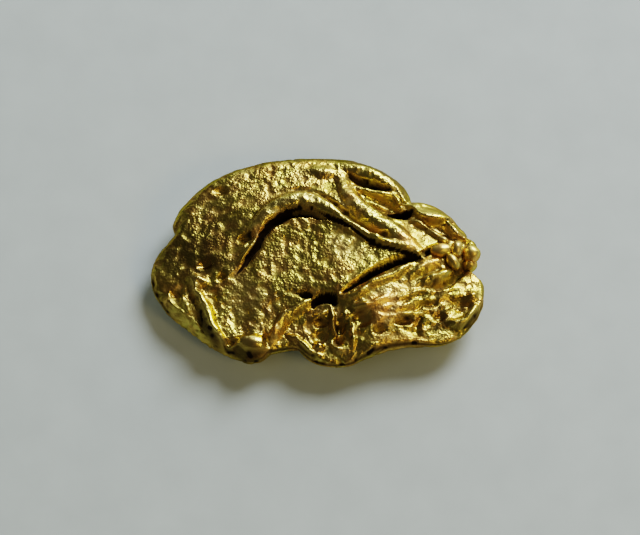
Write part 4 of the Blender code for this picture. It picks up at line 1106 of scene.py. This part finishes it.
print("fine grain:", round(PEBBLE_SIZE / MM, 2), "by", round(BUMP_HEIGHT / MM, 3), "mm")

# %% [markdown]
# ## The finish
# The parts come together in one Principled shader. Grime and painted shade take away the metal and
# its gloss. The rough plates, the places of painted light and painted warm reflection, and the
# beads blur their reflections, and the rubbed ridges stay sharp.

# %% Gold
GRIME_AND_SHADE = (0.018, 0.007, 0.003, 1.0)
EDGE_TINT = (0.40, 0.38, 0.16, 1.0)  # what is left of the light that grazes the metal
METAL_HIDDEN = 0.6  # by full grime and painted shade
GLOSSIEST = 0.21  # roughness of the rubbed metal
GRAIN_BLUR, GRIME_AND_SHADE_BLUR, SATIN_BLUR = 0.11, 0.4, 0.20  # what each of these adds to it


def native_gold():
    """The one material of the nugget."""
    graph = Graph("native_gold")
    rough_share, fine = graph.number("rough"), graph.speckle(FINE_SIZE, 3.0)
    grime_and_shade = grime_and_shade_share(graph, rough_share, fine)
    roughness = GLOSSIEST + rough_share * GRAIN_BLUR + grime_and_shade * GRIME_AND_SHADE_BLUR
    finish = {
        "Base Color": graph.mix(grime_and_shade, gold_color(graph), GRIME_AND_SHADE),
        "Metallic": 1 - grime_and_shade * METAL_HIDDEN,
        "Specular Tint": EDGE_TINT,
        "Roughness": roughness + graph.number("satin") * SATIN_BLUR,
        "Normal": fine_grain(graph, rough_share, fine),
    }
    for name, given in finish.items():
        graph.feed(graph.shader.inputs[name], given)
    return graph.material


nugget.data.materials.append(native_gold())
print("nodes of the gold:", len(nugget.data.materials[0].node_tree.nodes))

# %% [markdown]
# ## The table
# A pale, plain table. It throws light back into the lower side of the nugget, which matters on a
# metal, because a metal shows what stands around it. Two greys in soft blobs keep it from looking
# like a flat backdrop.

# %% Table
TABLE_SIZE = 2.0  # m
TABLE_BLOBS = 2.0 * MM
TABLE_DARK = (0.475, 0.545, 0.525, 1.0)
TABLE_LIGHT = (0.555, 0.635, 0.61, 1.0)
TABLE_ROUGHNESS = 0.7


def build_table():
    """A plain plane with its own soft greys."""
    bpy.ops.mesh.primitive_plane_add(size=TABLE_SIZE)
    table = bpy.context.object
    table.name = "table"
    graph = Graph("table_top")
    shade = graph.mix(graph.speckle(TABLE_BLOBS, 4.0), TABLE_DARK, TABLE_LIGHT)
    graph.feed(graph.shader.inputs["Base Color"], shade)
    graph.feed(graph.shader.inputs["Roughness"], TABLE_ROUGHNESS)
    table.data.materials.append(graph.material)


build_table()
print("table:", TABLE_SIZE, "m")

# %% [markdown]
# ## Light
# A window-like soft light behind the nugget gives the bright side of every grain, and two dim
# lamps beside it soften the step into the dark. A warm lamp in front keeps the near flanks from
# going black. The nugget's shadow on the table would be too dark that way, so a fill lamp lightens
# it. That lamp is hidden from reflections, because the gold would show it as a large pale disc.

# %% Lights
# name: place in metres, size in metres, watts, colour
LAMPS = {
    "window": ((0.107, 0.156, 0.160), 0.135, 0.545, (0.945, 0.95, 1.045)),
    "back_lamp": ((0.000, 0.241, 0.065), 0.13, 0.05, (0.85, 0.92, 1.0)),
    "low_lamp": ((0.171, 0.171, 0.065), 0.10, 0.06, (1.0, 0.78, 0.55)),
    "fill_lamp": ((-0.130, -0.110, 0.150), 0.22, 0.085, (1.0, 0.95, 0.82)),
    "warm_lamp": ((0.150, -0.120, 0.161), 0.08, 0.09, (1.0, 0.70, 0.30)),
}
HIDDEN_FROM_GLOSS = "fill_lamp"


def build_lamp(name, place, size, watts, color):
    """A round lamp that shines at the nugget."""
    lamp = bpy.data.lights.new(name, "AREA")
    lamp.shape = "DISK"
    lamp.size = size
    lamp.energy = watts
    lamp.color = color
    holder = bpy.data.objects.new(name, lamp)
    bpy.context.scene.collection.objects.link(holder)
    holder.location = place
    holder.rotation_euler = (-Vector(place)).to_track_quat("-Z", "Y").to_euler()
    holder.visible_glossy = name != HIDDEN_FROM_GLOSS


for name, settings in LAMPS.items():
    build_lamp(name, *settings)
print("lamps:", len(LAMPS))

# %% [markdown]
# ## The room
# Between the lamps the gold reflects the room, which is dim and a little warm. That darkness gives
# gold its contrast. The film-like view keeps the small highlights from turning into flat white.

# %% Room
ROOM_LIGHT = 0.05
ROOM_COLOR = (1.0, 0.93, 0.75, 1.0)


def build_room():
    """The world round the table."""
    room = bpy.data.worlds.new("room")
    room.use_nodes = True
    background = room.node_tree.nodes["Background"]
    background.inputs["Color"].default_value = ROOM_COLOR
    background.inputs["Strength"].default_value = ROOM_LIGHT
    bpy.context.scene.world = room


build_room()
bpy.context.scene.view_settings.view_transform = "Filmic"
bpy.context.scene.view_settings.look = "High Contrast"
print("room light:", ROOM_LIGHT)

# %% [markdown]
# ## Camera
# A long lens close to straight down, tilted a little, as for a specimen picture. A short lens so
# near would swell the near side.

# %% Camera
ELEVATION = math.radians(64)
DISTANCE = 0.150  # m
LENS = 200  # mm
SENSOR = 36  # mm
CLIP = (0.005, 5.0)  # m
SHIFT = (0.0045, -0.0110)  # share of the picture's width


def build_camera():
    """The one camera, aimed at the middle of the nugget's box."""
    camera = bpy.data.cameras.new("camera")
    camera.lens = LENS
    camera.sensor_width = SENSOR
    camera.clip_start, camera.clip_end = CLIP
    camera.shift_x, camera.shift_y = SHIFT
    holder = bpy.data.objects.new("camera", camera)
    bpy.context.scene.collection.objects.link(holder)
    middle = (cad_box[0] + cad_box[1]) / 2
    back = Vector((0, -math.cos(ELEVATION), math.sin(ELEVATION)))
    holder.location = middle + back * DISTANCE
    holder.rotation_euler = (math.radians(90) - ELEVATION, 0, 0)
    bpy.context.scene.camera = holder


build_camera()
print("camera:", round(1000 * DISTANCE), "mm away")

# %% [markdown] ## Finish The skin has to fill the box of the solid.
